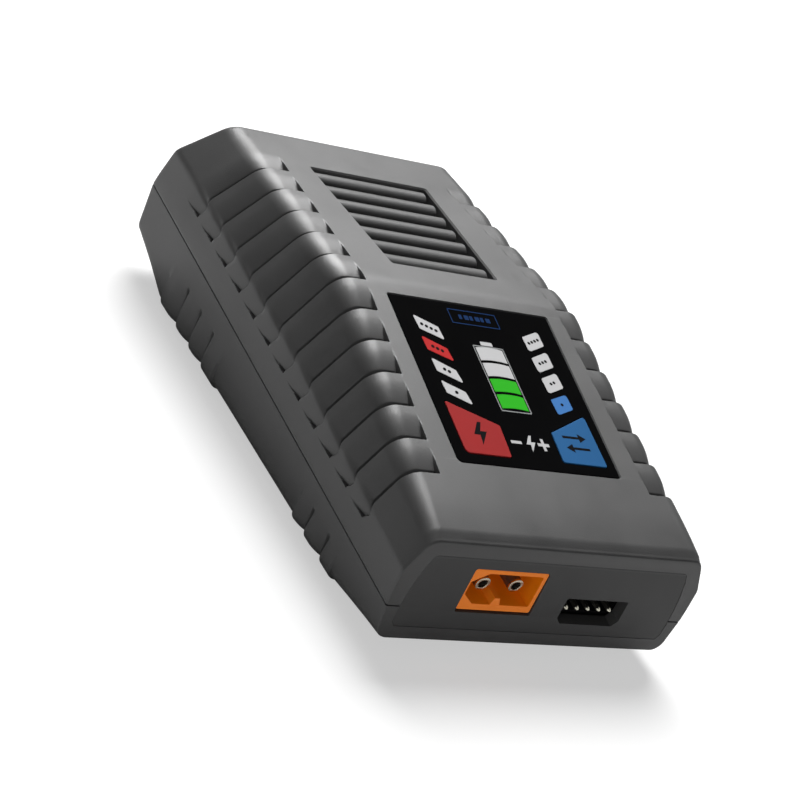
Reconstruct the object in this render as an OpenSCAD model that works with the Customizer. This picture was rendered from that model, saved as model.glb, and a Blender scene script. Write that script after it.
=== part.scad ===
// Balance battery charger: two-shell grip case, sloped control panel, vent with fan, output sockets.
// Drawn in the seam frame (x across, y back from the front face, z up from its lower edge) and then
// tilted by the base angle so that the foot pads rest on z = 0 and the outputs face -Y.

/* [Case] */
// wall thickness of the two shells
wall = 2.4; // [2.3:0.1:2.5]
// depth of the grip grooves in the sides
groove_depth = 1.1; // [0.9:0.1:1.1]
// gap round the inset front plate
plate_gap = 0.12; // [0.1:0.01:0.15]

/* [Panel] */
// gap round each key
key_gap = 0.2; // [0.15:0.05:0.25]
// depth of the recess that holds the panel film
panel_recess = 0.5; // [0.45:0.05:0.5]

/* [Vent and fan] */
// width of one vent slat
slat_w = 2.8; // [2.6:0.1:3.0]
// number of fan blades
fan_blades = 7; // [5:1:9]

/* [Hidden] */
$fn = 48;

white = "#e6e7e8";
steel = "#b9bcc0";
aluminium = "#a9acb0";

// ---- Case sizes ----
case_len = 108.8;
z_seam = 6.1;
seam_x = 32.8;        // half widths: at the seam, of the upper and of the lower shell
upper_x = 33.2;
lower_x = 33;
front_slope = 0.144;  // y per z of the front face
back_slope = 0.148;   // the same for the back face above the seam
base_draft = 0.17;    // x per z of the lower shell's sides
base_side_a = 9.65;

ridge_y = 57.97;      // the roof falls to the front and to the back of this line
ridge_z = 28.66;
panel_slope = 0.15723;
vent_slope = 0.10366;
panel_a = atan(panel_slope);
vent_a = atan(vent_slope);

base_a = 4;
base_drop = 2.8;      // depth of the sloping base plane where it meets y = 0
pad_h = 0.5;
tilt_y = 54.5;
shift_y = -0.05;
lift = (base_drop + pad_h) * cos(base_a) + tilt_y * sin(base_a);

// Places along y of the panel, vent and base frames
panel_y = 36.8;
vent_y = 79.7;
base_y = 50;

// ---- Section profiles along y; each lookup table is [y, value] ----
function roof_z(y) = y < ridge_y
  ? ridge_z - panel_slope * (ridge_y - y) - (y < 12 ? 0.48 * pow((12 - y) / 9.2, 2) : 0)
  : ridge_z - vent_slope * (y - ridge_y);
function roof_x(y) = lookup(y, [[3, 30.3], [16, 30.4], [23, 30.0], [44, 28.6], [50, 28.1],
  [64, 27.8], [78, 26.7], [92, 26.1], [106, 25.6]]);
function crease_z(y) = lookup(y, [[3, 12.9], [20, 13.7], [50, 15.3]]);
function roof_r(y) = lookup(y, [[3, 3.0], [16, 4.2], [50, 4.8]]);
function base_z(y) = lookup(y, [[-2, 0.15], [0, -0.3], [16, -3.919], [94, -9.373], [109, -4.4],
  [112, -3.4]]);
function base_r(y) = lookup(y, [[0, 2.6], [10, 3], [100, 3], [109, 2.2]]);
function base_grip_z(y) = lookup(y, [[0, 2.6], [10, 1.2], [17, 0.5], [31, 0.2], [68, -0.8],
  [92, -1.2], [104, -0.6], [109, 0.8]]);
function base_side_x(z) = lower_x - base_draft * (z_seam - z);
// height of the two foot pads
function pad(y) = pad_h * lookup(y, [[16.7, 0], [17, 1], [31.6, 1], [31.9, 0],
  [67.7, 0], [68, 1], [92, 1], [92.3, 0]]);

// ---- Grip grooves: a steep step at the front, then a slow ramp out towards the back ----
groove_step = 0.5;
groove_pitch = 6.907;
groove_len = 5.2;
groove_ys = [for (i = [11:-1:0]) 92.08 - groove_pitch * i];
low_groove_depth = 0.9;
low_groove_len = 4.8;
front_groove_ys = [20.2, 26.6];
rear_groove_ys = [72.3, 78.1, 84.3];

function one_groove(u, depth, len) = u < -groove_step ? 0
  : u < 0 ? depth * (1 + u / groove_step)
  : u < len ? depth * pow(1 - u / len, 1.8) : 0;
function groove(y) = max([for (g = groove_ys) one_groove(y - g, groove_depth, groove_len)]);
function low_groove(y) = max([for (g = concat(front_groove_ys, rear_groove_ys))
  one_groove(y - g, low_groove_depth, low_groove_len)]);
function stations(starts, steps) = [for (y = starts) for (u = steps) y + u];
top_steps = [-groove_step, 0, 0.9, 2.4, groove_len];
low_steps = [-groove_step, 0, 1.0, 2.4, low_groove_len];

// ---- Cross-sections ----
function unit(v) = v / norm(v);
function on_circle(centre, r, angle) = centre + r * [cos(angle), sin(angle)];
// centre of a fillet between a level face running to -x and a face running along edge
function fillet_centre(corner, edge, r) =
  corner + unit(edge + [-1, 0]) * r / sin(acos(-edge[0]) / 2);
// angle of the outward normal of the face along edge
function normal_a(edge) = atan2(edge[0], -edge[1]);
// a closed ring at y from one half section; it starts on the side given by sx
function ring(half, y, sx) = concat(
  [for (p = half) [sx * p[0], y, p[1]]],
  [for (i = [len(half) - 2:-1:0]) [-sx * half[i][0], y, half[i][1]]]);

// one side of a top section: [x, z, normal x, normal z, groove share]
function half_top(y) = let (
    top_z = roof_z(y), corner = [roof_x(y), top_z], fold = [upper_x, crease_z(y)], r = roof_r(y),
    edge = unit(fold - corner), centre = fillet_centre(corner, edge, r),
    start = corner + edge * r / tan(acos(-edge[0]) / 2),
    face_a = normal_a(edge),
    d = (y - 60) / 50,
    grip_z = 11.5 + 0.83 * d,
    grip_x = 21.86 - 2.444 * d - 0.369 * d * d)
  concat(
    [[seam_x, z_seam, 1, 0, 0],
     [33.05, z_seam + 0.3, 1, 0, 0],
     [upper_x, 8.5, 1, 0, 0],
     [upper_x, grip_z - 0.2, 1, 0, 0],
     [upper_x, grip_z, 1, 0, 1],
     [upper_x, fold[1] - 0.8, 1, 0, 1],
     [33.08, fold[1] + 0.05, cos(face_a / 2), sin(face_a / 2), 1]],
    [for (t = [0.14, 0.55, 1])
      concat(fold + (start - fold) * t, [cos(face_a), sin(face_a), 1])],
    [for (i = [1:5]) let (b = face_a + (90 - face_a) * i / 5)
      concat(on_circle(centre, r, b), [cos(b), sin(b), 1])],
    [[grip_x, top_z, 0, 1, 1], [grip_x - 0.2, top_z, 0, 1, 0], [0, top_z, 0, 1, 0]]);
function top_ring(y) = let (g = groove(y))
  ring([for (p = half_top(y)) [p[0] - g * p[4] * p[2], p[1] - g * p[4] * p[3]]], y, 1);

// one side of a base section: [x, z, normal x, normal z, pad share, groove share]
function half_low(y) = let (
    z = base_z(y), r = base_r(y), grip_z = base_grip_z(y),
    centre = fillet_centre([base_side_x(z), z], unit([base_draft, 1]), r))
  concat(
    [[seam_x, z_seam, 1, 0, 0, 0],
     [lower_x - 0.05, z_seam - 0.3, 1, 0, 0, 0],
     [base_side_x(4), 4, 1, 0, 0, 0],
     [base_side_x(grip_z + 0.3), grip_z + 0.3, 1, 0, 0, 0],
     [base_side_x(grip_z), grip_z, 1, 0, 1, 1]],
    [for (i = [0:5]) let (b = -base_side_a - (90 - base_side_a) * i / 5)
      concat(on_circle(centre, r, b), [cos(b), sin(b), 1, 1])],
    [[26.3, z, 0, -1, 1, 1], [26.0, z, 0, -1, 1, 0], [14.3, z, 0, -1, 1, 0],
     [14.0, z, 0, -1, 0, 0], [0, z, 0, -1, 0, 0]]);
function low_ring(y) = let (rise = pad(y), g = rise > 0 ? low_groove(y) : 0)
  ring([for (p = half_low(y)) let (e = rise * p[4] - g * p[5])
    [p[0] + e * p[2], p[1] + e * p[3]]], y, -1);

// the hollow inside each shell
function top_hollow(y) = let (
    x = upper_x - wall, z = crease_z(y) - 0.5, r = 2.5,
    corner = [roof_x(y) - 1.9, roof_z(y) - (wall - 0.1)],
    edge = unit([x, z] - corner), centre = fillet_centre(corner, edge, r),
    face_a = normal_a(edge))
  ring(concat([[x, z_seam - 0.5], [x, z]],
    [for (i = [0:3]) on_circle(centre, r, face_a + (90 - face_a) * i / 3)],
    [[0, corner[1]]]), y, 1);
function low_hollow(y) = let (
    z = base_z(y) + 2.2, r = 2,
    centre = fillet_centre([base_side_x(z) - wall, z], unit([base_draft, 1]), r))
  ring(concat([[lower_x - wall, z_seam + 0.5]],
    [for (i = [0:3]) on_circle(centre, r, -base_side_a - (90 - base_side_a) * i / 3)],
    [[0, z]]), y, -1);

// skins equal-length rings into one solid
module loft(rings) {
  rows = len(rings);
  n = len(rings[0]);
  polyhedron(
    points = [for (r = rings) each r],
    faces = concat(
      [[for (j = [n - 1:-1:0]) j]],
      [[for (j = [0:n - 1]) (rows - 1) * n + j]],
      [for (i = [0:rows - 2]) for (j = [0:n - 1]) let (k = (j + 1) % n) each
        [[i * n + j, i * n + k, (i + 1) * n + k],
         [i * n + j, (i + 1) * n + k, (i + 1) * n + j]]]),
    convexity = 6);
}

// ---- Frames ----
module place() translate([0, shift_y, lift]) rotate([base_a, 0, 0])
  translate([0, -tilt_y, 0]) children();
module on_panel() translate([0, panel_y, roof_z(panel_y)]) rotate([panel_a, 0, 0]) children();
module on_vent() translate([0, vent_y, roof_z(vent_y)]) rotate([-vent_a, 0, 0]) children();
module on_base() translate([0, base_y, base_z(base_y)]) rotate([-base_a, 0, 0]) children();
// seam-frame y to distance along the panel or the vent face
function panel_v(y) = (y - panel_y) / cos(panel_a);
function vent_v(y) = (y - vent_y) / cos(vent_a);
function panel_pts(points) = [for (p = points) [p[0], panel_v(p[1])]];

// ---- Shared shapes ----
// extrusions between two heights, between two y, and centred across x
module slab(z0, z1) translate([0, 0, z0]) linear_extrude(z1 - z0) children();
module bar(y0, y1) rotate([90, 0, 0]) translate([0, 0, -y1]) linear_extrude(y1 - y0) children();
module across(width = 80) rotate([90, 0, 90]) translate([0, 0, -width / 2])
  linear_extrude(width) children();
module box(x0, x1, y0, y1, z0, z1) translate([x0, y0, z0]) cube([x1 - x0, y1 - y0, z1 - z0]);
// a box from a to b off the plane at x, counted towards sx
module box_off(x, sx, a, b, y0, y1, z0, z1)
  box(min(x + a * sx, x + b * sx), max(x + a * sx, x + b * sx), y0, y1, z0, z1);
// a cylinder lying along +y
module rod(r, length) rotate([-90, 0, 0]) cylinder(r = r, h = length);
module at_each(points, z = 0) for (p = points) translate([p[0], p[1], z]) children();
// everything behind a plane parallel to the front face
module behind(inset) across() polygon([[inset + front_slope * -20, -20],
  [inset + front_slope * 45, 45], [140, 45], [140, -20]]);
// the side view of the case, moved in from its front and back faces
module case_side(inset, z0, z1) across() polygon([
  [inset + front_slope * z0, z0],
  [inset + front_slope * z1, z1],
  [case_len - inset - back_slope * max(0, z1 - z_seam), z1],
  [case_len - inset, min(z1, z_seam)],
  [case_len - inset, z0]]);
module round_rect(w, h, r) {
  square([w - 2 * r, h], center = true);
  square([w, h - 2 * r], center = true);
  for (x = [-1, 1]) for (y = [-1, 1]) translate([x * (w / 2 - r), y * (h / 2 - r)]) circle(r);
}
// cross-slot screw, head at the bottom and shank upwards
module screw(head_r, head_h, shank_r, length) {
  slot = head_r * 0.6;
  difference() {
    cylinder(r = head_r, h = head_h);
    translate([0, 0, -0.01]) box(-slot, slot, -0.22, 0.22, 0, head_h * 0.5);
    translate([0, 0, -0.01]) box(-0.22, 0.22, -slot, slot, 0, head_h * 0.5);
  }
  translate([0, 0, head_h]) cylinder(r = shank_r, h = length);
}

// ---- Screw places [x, y] ----
// case posts, third column: z of the screw head seat
posts = [[-25.6, 13.5, 0.5], [25.6, 13.5, 0.5], [-25.6, 101, -3.5], [25.6, 101, -3.5]];
board_screws = [[-22, 33], [22, 33], [-13, 63.5], [24, 90]];
key_board_holes = panel_pts([[0.3, 24], [-6.4, 46.5], [6.7, 46.5]]);
fan_holes = [[-17.3, -9], [17.3, -9], [-17.3, 9], [17.3, 9]];

// ---- Front plate outlines: right half from the top down, [x, z] ----
function mirrored(half) =
  concat(half, [for (i = [len(half) - 1:-1:0]) [-half[i][0], half[i][1]]]);
plate_outline = mirrored([[27.6, 16.3], [28.2, 16.1], [28.9, 14.5], [29.6, 11.5], [30.0, 8.5],
  [30.1, 6.0], [30.0, 3.0], [29.4, 2.2]]);
flange_outline = mirrored([[27.2, 17.0], [28.3, 16.2], [29.4, 14.2], [30.3, 11.5], [30.5, 8.5],
  [30.3, 6.0], [29.8, 3.0], [29.3, 2.2]]);

// ---- Panel outlines, corners as [x, seam-frame y] ----
red_key = panel_pts([[-15.79, 31.87], [-5.34, 27.67], [-5.73, 20.85], [-15.82, 20.93]]);
blue_key = panel_pts([[6.32, 27.43], [16.21, 32.05], [16.37, 20.9], [6.07, 21.02]]);
// lamp tiles from the back of the panel to the front
current_tiles = [for (tile = [
  [[-14.47, 50.67], [-9.79, 48.58], [-9.52, 45.85], [-14.17, 47.7]],
  [[-14.55, 45.92], [-9.89, 43.82], [-9.49, 41.13], [-14.4, 43.08]],
  [[-14.46, 41.13], [-10.05, 39.0], [-9.52, 36.36], [-14.38, 38.43]],
  [[-14.49, 36.3], [-9.99, 34.26], [-9.49, 31.68], [-14.26, 33.73]]]) panel_pts(tile)];
type_tiles = [for (tile = [
  [[9.93, 49.1], [14.38, 50.96], [14.42, 47.69], [10.13, 45.87]],
  [[9.91, 44.35], [14.32, 46.25], [14.4, 42.89], [10.13, 41.12]],
  [[10.02, 39.75], [14.27, 41.5], [14.48, 38.2], [10.24, 36.48]],
  [[9.97, 35.06], [14.23, 36.65], [14.41, 33.42], [10.2, 31.75]]]) panel_pts(tile)];
// gauge segments, [front, back] edge of each
segments = [for (s = [[42.2, 45.1], [38.7, 41.6], [35.3, 38.1], [31.7, 34.7]])
  [panel_v(s[0]), panel_v(s[1])]];
bolt = [[0.1, 1.0], [-0.62, -0.12], [-0.08, -0.12], [-0.2, -1.0], [0.62, 0.2], [0.06, 0.2],
  [0.42, 1.0]];
key_y = 25.2;
current_key_x = -10.7;
mode_key_x = 11.2;

module at_key(x, z = 0) translate([x, panel_v(key_y), z]) children();
// a rectangle between two x and two seam-frame y
module panel_rect(x0, x1, y0, y1) translate([x0, panel_v(y0)])
  square([x1 - x0, panel_v(y1) - panel_v(y0)]);
module film_area(inset = 0)
  panel_rect(-18.45 + inset, 18.45 - inset, 18.8 + inset, 54.85 - inset);
module key_holes() for (outline = [red_key, blue_key]) offset(delta = key_gap) polygon(outline);
module tile(outline, grow = 0) offset(delta = grow) polygon(outline);
module segment(ends, grow = 0) translate([-2.8 - grow, ends[0] - grow])
  square([6.1 + 2 * grow, ends[1] - ends[0] + 2 * grow]);
module windows(grow) {
  for (outline = current_tiles) tile(outline, grow);
  for (outline = type_tiles) tile(outline, grow);
  for (ends = segments) segment(ends, grow);
}
// battery-shaped frame with a terminal at its back end
module gauge_shape() {
  difference() {
    panel_rect(-3.3, 3.75, 31.1, 45.6);
    panel_rect(-3.05, 3.5, 31.35, 45.35);
  }
  panel_rect(-1.2, 1.5, 45.75, 46.6);
}
module badge_shape() {
  line = 0.25;
  translate([-5.7, panel_v(50.3)]) difference() {
    square([11.1, 3.14]);
    translate([line, line]) square([11.1 - 2 * line, 3.14 - 2 * line]);
  }
}
// minus, plus and bolt between the keys
module mark_shape() {
  stroke = 0.6;
  size = 2.4;
  mid = panel_v(24.45);
  translate([-4.3, panel_v(24.15)]) square([size, stroke]);
  translate([1.9, mid - stroke / 2]) square([size, stroke]);
  translate([2.8, mid - size / 2]) square([stroke, size]);
  translate([0.25, mid]) scale(1.55) polygon(bolt);
}

// ---- Vent opening: [y, half width] at its front and back ----
vent_half = [[64.5, 12.15], [95, 13.6]];
module vent_opening() {
  front = vent_half[0];
  back = vent_half[1];
  polygon([[-back[1], vent_v(back[0])], [back[1], vent_v(back[0])],
    [front[1], vent_v(front[0])], [-front[1], vent_v(front[0])]]);
}

// ---- Mains inlet face: a square middle with a round end on each side ----
inlet_z = 9.6;
inlet_pin_x = 4.3;
module inlet_shape(grow = 0) {
  translate([-5.2, 4.3 - grow]) square([10.4, 10.6 + 2 * grow]);
  for (s = [-1, 1]) translate([s * 5.2, inlet_z]) circle(5.3 + grow);
}
// openings that both shells share across the seam
module end_openings() {
  bar(-2, 6) offset(delta = plate_gap) polygon(plate_outline);
  bar(104, 112) inlet_shape(0.12);
}

// ---- Shells ----
module upper_shell() color("#55575a") place() difference() {
  intersection() {
    loft([for (y = concat([-1.5, 3, 8, 13], stations(groove_ys, top_steps), [100, 104, 110]))
      top_ring(y)]);
    case_side(0, z_seam, 40);
  }
  // the hollow leaves the screw posts standing
  difference() {
    intersection() {
      loft([for (y = [-1.5, 3, 12, 23, 44, 50, 57.2, 58.7, 64, 78, 92, 110]) top_hollow(y)]);
      case_side(wall, 5, 40);
    }
    at_each(posts, 6.3) cylinder(r = 3, h = 30);
    on_panel() at_each(key_board_holes, -7) cylinder(r = 1.9, h = 10);
    on_vent() at_each(fan_holes, -10.5) cylinder(r = 2.2, h = 14);
  }
  at_each(posts) cylinder(r = 1.12, h = 17);
  on_panel() at_each(key_board_holes, -9) cylinder(r = 0.82, h = 5.6);
  on_vent() at_each(fan_holes, -12) cylinder(r = 0.92, h = 7);
  end_openings();
  on_panel() {
    slab(-panel_recess, 2) film_area();
    slab(-4, 1) key_holes();
    slab(-4, 1) windows(-0.3);
  }
  on_vent() slab(-4, 2) vent_opening();
}

module lower_shell() color("#4b4d50") place() difference() {
  union() {
    difference() {
      intersection() {
        loft([for (y = concat([-1.5, 5, 10, 16, 16.7, 17],
          stations(front_groove_ys, low_steps),
          [31.6, 31.9, 45, 56, 67.7, 68],
          stations(rear_groove_ys, low_steps),
          [92, 92.3, 94, 100, 106, 112])) low_ring(y)]);
        case_side(0, -12, z_seam);
      }
      difference() {
        intersection() {
          loft([for (y = [-1.5, 0, 16, 94, 109, 112]) low_hollow(y)]);
          case_side(wall, -12, 8);
        }
        at_each(posts, -12) cylinder(r = 3.2, h = 18.15);
        at_each(board_screws, -12) cylinder(r = 2.4, h = 12 + board_z);
      }
    }
    // tongue inside the seam
    for (s = [0, 1]) mirror([s, 0, 0]) box(29.3, 30.6, 22, 92, 3.6, 7.5);
  }
  for (p = posts) translate([p[0], p[1], 0]) {
    translate([0, 0, -12]) cylinder(r = 1.5, h = 20);
    translate([0, 0, -14]) cylinder(r = 2.7, h = 14 + p[2]);
  }
  at_each(board_screws, -4) cylinder(r = 0.82, h = 10);
  end_openings();
  // label recess and slots under the base
  on_base() {
    slab(-2, 0.3) translate([-18, -13]) square([36, 26]);
    slab(-2, 6) for (i = [0:5]) translate([-11, 22 + 3.4 * i]) square([22, 1.6]);
  }
}

module front_plate() color("#4e5053") place() difference() {
  union() {
    intersection() {
      bar(-1, 8) polygon(plate_outline);
      difference() {
        behind(0.05);
        behind(wall + 0.2);
      }
    }
    intersection() {
      bar(-1, 8) polygon(flange_outline);
      difference() {
        behind(wall + 0.1);
        behind(wall + 1.1);
      }
    }
  }
  // openings for the output and balance sockets
  bar(-1, 9) polygon([[-18.55, 14.3], [-2.36, 14.3], [-1.95, 5.3], [-18.55, 5.3]]);
  bar(-1, 9) polygon([[4.35, 9.6], [18.5, 9.6], [18.5, 5.5], [17.4, 4.4], [5.45, 4.4],
    [4.35, 5.5]]);
  bar(2.9, 9) translate([3.5, 3.8]) square([15.8, 6.5]);
}

// slat section with a crowned top
module slat_section() {
  half = slat_w / 2;
  polygon([[-half, -1.5], [half, -1.5], [half, -0.75], [half * 0.8, -0.5],
    [half * 0.45, -0.34], [0, -0.3], [-half * 0.45, -0.34], [-half * 0.8, -0.5],
    [-half, -0.75]]);
}
module vent_grille() color("#505255") place() on_vent() {
  short = 1.7; // each slat stops this far from the right-hand end of its rib
  for (i = [0:6]) {
    y = 92.3 - 4.35 * i;
    half = lookup(y, vent_half) - 0.12;
    translate([-short / 2, vent_v(y), 0]) across(2 * half - short) slat_section();
    translate([0, vent_v(y), 0]) box(-half, half, -0.55, 0.55, -3.0, -1.4);
  }
  // side rails
  slab(-3.2, -2.4) for (s = [0, 1]) mirror([s, 0, 0]) translate([11.2, vent_v(65.2)])
    square([3.7, vent_v(94.6) - vent_v(65.2)]);
}

// ---- Panel ----
print_z = -0.25; // floor of the shallow pockets for the printed shapes
module panel_film() color("#141416") place() on_panel() difference() {
  slab(-panel_recess, -0.1) film_area(0.1);
  slab(-1, 1) key_holes();
  slab(-1, 1) windows(0.03);
  slab(print_z, 1) {
    gauge_shape();
    badge_shape();
    mark_shape();
  }
}
module inlay(tint, z0, z1) color(tint) place() on_panel() slab(z0, z1) children();
module lamp(tint) inlay(tint, -panel_recess, -0.06) children();
module gauge_bar(tint) inlay(tint, -panel_recess, -0.07) children();
module print(tint) inlay(tint, print_z, -0.08) children();
module current_lamps() lamp(white) for (i = [0, 2, 3]) tile(current_tiles[i]);
module current_lamp_lit() lamp("#eb3a38") tile(current_tiles[1]);
module type_lamps() lamp(white) for (i = [0:2]) tile(type_tiles[i]);
module type_lamp_lit() lamp("#3c92f0") tile(type_tiles[3]);
module gauge_segments_off() gauge_bar(white) for (i = [0, 1]) segment(segments[i]);
module gauge_segments_on() gauge_bar("#2fbf22") for (i = [2, 3]) segment(segments[i]);
module gauge_frame() print(white) gauge_shape();
module badge_frame() print("#1d3f6b") badge_shape();
module panel_mark() print(white) mark_shape();

// key cap, wider flange under the shell and a round foot
module key(outline, x) place() on_panel() {
  slab(-2.9, 0.02) polygon(outline);
  slab(-3.4, -2.75) offset(delta = 0.8) polygon(outline);
  at_key(x, -4.2) cylinder(r = 1.6, h = 1);
}
module current_key() color("#b93434") key(red_key, current_key_x);
module mode_key() color("#2f6b9e") key(blue_key, mode_key_x);

module switch_body(x) color("#232427") place() on_panel() at_key(x) difference() {
  slab(-7, -4.9) round_rect(6, 6, 0.4);
  translate([0, 0, -6.2]) cylinder(r = 1.65, h = 3);
}
module switch_stem(x) color("#d8d8d4") place() on_panel() at_key(x, -5.7)
  cylinder(r = 1.6, h = 1.5);
module mode_switch() switch_body(mode_key_x);
module current_switch() switch_body(current_key_x);
module mode_switch_stem() switch_stem(mode_key_x);
module current_switch_stem() switch_stem(current_key_x);

key_board_z = -7; // top of the key board in the panel frame
module light_shroud() color("#e9e9e4") place() on_panel() difference() {
  union() {
    slab(key_board_z, -2.35)
      polygon(panel_pts([[-15.5, 52.0], [-8.5, 49.0], [-8.5, 30.6], [-15.5, 33.4]]));
    slab(key_board_z, -2.35)
      polygon(panel_pts([[9.0, 49.6], [15.4, 52.3], [15.4, 33.2], [9.0, 30.7]]));
    slab(key_board_z, -2.35) panel_rect(-3.7, 4.2, 30.9, 46);
    slab(key_board_z, -6) translate([-9, panel_v(37)]) square([18.5, 2]);
  }
  slab(-8, -1) windows(-0.3);
}
module key_board() color("#1f5a35") place() on_panel() slab(key_board_z - 1, key_board_z)
  difference() {
    panel_rect(-17.6, 17.6, 20.0, 54.2);
    at_each(key_board_holes) circle(1.0);
  }
// one chip under the middle of each tile and segment
module lamp_chips() color("#f1efe0") place() on_panel() {
  centres = concat(
    [for (t = concat(current_tiles, type_tiles)) (t[0] + t[1] + t[2] + t[3]) / 4],
    [for (ends = segments) [0.25, (ends[0] + ends[1]) / 2]]);
  at_each(centres) slab(key_board_z, -6.3) square([1.6, 0.9], center = true);
}
module key_board_screws() color(steel) place() on_panel() at_each(key_board_holes, -9.2)
  screw(head_r = 1.7, head_h = 1.2, shank_r = 0.8, length = 4);
// socket strip on the main board with pins up to the key board
module board_link() color("#2a2b2e") place() {
  box(-6.2, 6.2, 40.6, 43.2, board_top, 9.0);
  for (i = [-2:2]) translate([i * 2.4, 41.9, 8.9]) cylinder(r = 0.32, h = 8.0);
}

// ---- Main board and sockets ----
board_z = 2.4;
board_top = 4.0;
output_x = [-14.05, -6.85]; // output pins
output_z = 10.18;
balance_x = [for (i = [-2:2]) 11.43 + 2.5 * i];
balance_z = 6.9;
inlet_pins = [-inlet_pin_x, inlet_pin_x];

module main_board() color("#1c5230") place() slab(board_z, board_top) difference() {
  translate([-28.3, 4.8]) square([56.6, 101.2]);
  at_each(posts) circle(3.6);
  at_each(board_screws) circle(1.1);
  for (x = output_x) translate([x, 15.0]) circle(0.95);
  for (x = balance_x) translate([x, 13.2]) circle(0.5);
  for (x = inlet_pins) translate([x, 93.6]) circle(0.95);
}
module main_board_screws() color(steel) place() at_each(board_screws, 5.3) mirror([0, 0, 1])
  screw(head_r = 1.9, head_h = 1.3, shank_r = 0.8, length = 5.5);

module output_socket() color("#e0661a") place() difference() {
  intersection() {
    union() {
      bar(-1, 13.8) translate([-18.45, 6.1]) square([15.99, 8.1]);
      bar(5, 13.8) translate([-17, board_top]) square([13, 2.3]);
    }
    behind(0.12);
  }
  // the cavity, less a tapered rib on its floor
  difference() {
    bar(-1, 12.3) polygon([[-15.0, 13.4], [-18.1, 11.6], [-18.1, 9.1], [-15.6, 7.3],
      [-3.2, 7.3], [-3.2, 13.4]]);
    intersection() {
      bar(-1, 13) polygon([[-11.7, 7.0], [-9.6, 7.0], [-10.1, 8.5], [-11.2, 8.5]]);
      behind(0.12);
    }
  }
  for (x = output_x) translate([x, 12, output_z]) rod(1.22, 5);
}
// hollow at the front, then a solid tail that turns down through the board
module output_pins() color("#d9c48a") place() for (x = output_x) translate([x, 0, output_z]) {
  difference() {
    translate([0, 3.0, 0]) rod(1.75, 9.3);
    translate([0, 2.9, 0]) rod(1.1, 7.5);
  }
  translate([0, 12.2, 0]) rod(1.2, 3.7);
  translate([0, 15.0, -8.4]) cylinder(r = 0.9, h = 8.4);
}
module balance_socket() color("#17181a") place() difference() {
  intersection() {
    bar(1, 11.8) translate([3.6, board_top]) square([15.6, 6.1]);
    behind(wall + 0.2);
  }
  bar(0, 10.2) translate([4.35, 4.7]) square([14.15, 4.9]);
  for (x = balance_x) bar(9, 13) translate([x, balance_z]) square([0.7, 0.7], center = true);
}
module balance_pins() color("#e2dfd2") place() {
  half = 0.32;
  for (x = balance_x) {
    box(x - half, x + half, 2.0, 13.5, balance_z - half, balance_z + half);
    box(x - half, x + half, 12.9, 13.5, 1.2, balance_z);
  }
}

module ac_inlet() color("#1b1c1e") place() difference() {
  intersection() {
    union() {
      bar(94.8, 112) inlet_shape();
      bar(95.0, 105.5) translate([-8, board_top]) square([16, 2]);
    }
    case_side(0.05, -5, 40);
  }
  bar(97, 112) {
    for (x = inlet_pins) translate([x, inlet_z]) circle(4.15);
    translate([-4.3, 5.95]) square([8.6, 7.3]);
  }
  for (x = inlet_pins) bar(94, 98) translate([x, inlet_z]) circle(1.0);
}
module ac_pins() color("#c9ccd0") place() for (x = inlet_pins) translate([x, 0, inlet_z]) {
  translate([0, 97, 0]) rod(1.18, 9.0);
  translate([0, 106, 0]) rotate([-90, 0, 0]) cylinder(r1 = 1.18, r2 = 0.6, h = 0.5);
  translate([0, 93.0, 0]) rod(0.95, 4.2);
  translate([0, 93.6, -8]) cylinder(r = 0.85, h = 8);
}

// ---- Parts on the main board ----
module fuse() color("#3b2a24") place() translate([-17.5, 100.5, board_top]) {
  cylinder(r = 4.2, h = 7);
  translate([0, 0, 7]) cylinder(r1 = 4.2, r2 = 3.6, h = 0.6);
}
choke_at = [-19, 87.5, 7.5];
module line_choke_core() color("#8f9a4a") place() translate(choke_at)
  rotate_extrude() translate([3.6, -2]) square([2.6, 4]);
// two banks of five turns round the ring
module line_choke_winding() color("#b5662c") place() translate(choke_at)
  for (i = [0:4]) for (s = [0, 180]) rotate([0, 0, s - 56 + i * 28]) translate([4.9, 0, 0])
    rotate([90, 0, 0]) translate([0, 0, -0.45]) linear_extrude(0.9) difference() {
      round_rect(4.4, 5.8, 0.8);
      square([2.7, 4.1], center = true);
    }
module x_capacitor() color("#c9a227") place() translate([17.2, 99.2, board_top])
  slab(0, 10) round_rect(9.6, 6, 0.6);
module bridge_rectifier() color("#202124") place() {
  box(-4.2, 4.2, 89.6, 92.4, 5.0, 12.4);
  for (x = [-3.3, -1.1, 1.1, 3.3]) box(x - 0.3, x + 0.3, 90.8, 91.2, board_top, 5.1);
}
// capacitor profiles, [radius, height], with a groove near the foot
bulk_profile = [[0, 0], [4.4, 0], [4.75, 0.4], [4.75, 1.8], [4.35, 2.3], [4.75, 2.8],
  [4.75, 21.2], [4.5, 21.6], [4.1, 21.6], [4.1, 21.4], [0, 21.4]];
output_profile = [[0, 0], [3.7, 0], [4, 0.4], [4, 1.2], [3.65, 1.6], [4, 2.0],
  [4, 8.0], [3.8, 8.3], [3.4, 8.3], [3.4, 8.1], [0, 8.1]];
module bulk_capacitors() color("#2b3a5c") place() for (x = [-4.6, 5.7])
  translate([x, 65.8, 8.8]) rotate([-90, 0, 0]) rotate_extrude() polygon(bulk_profile);
module output_capacitors() color("#26402f") place()
  at_each([[4.5, 20.5], [17.5, 24.5]], board_top) rotate_extrude() polygon(output_profile);

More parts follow.
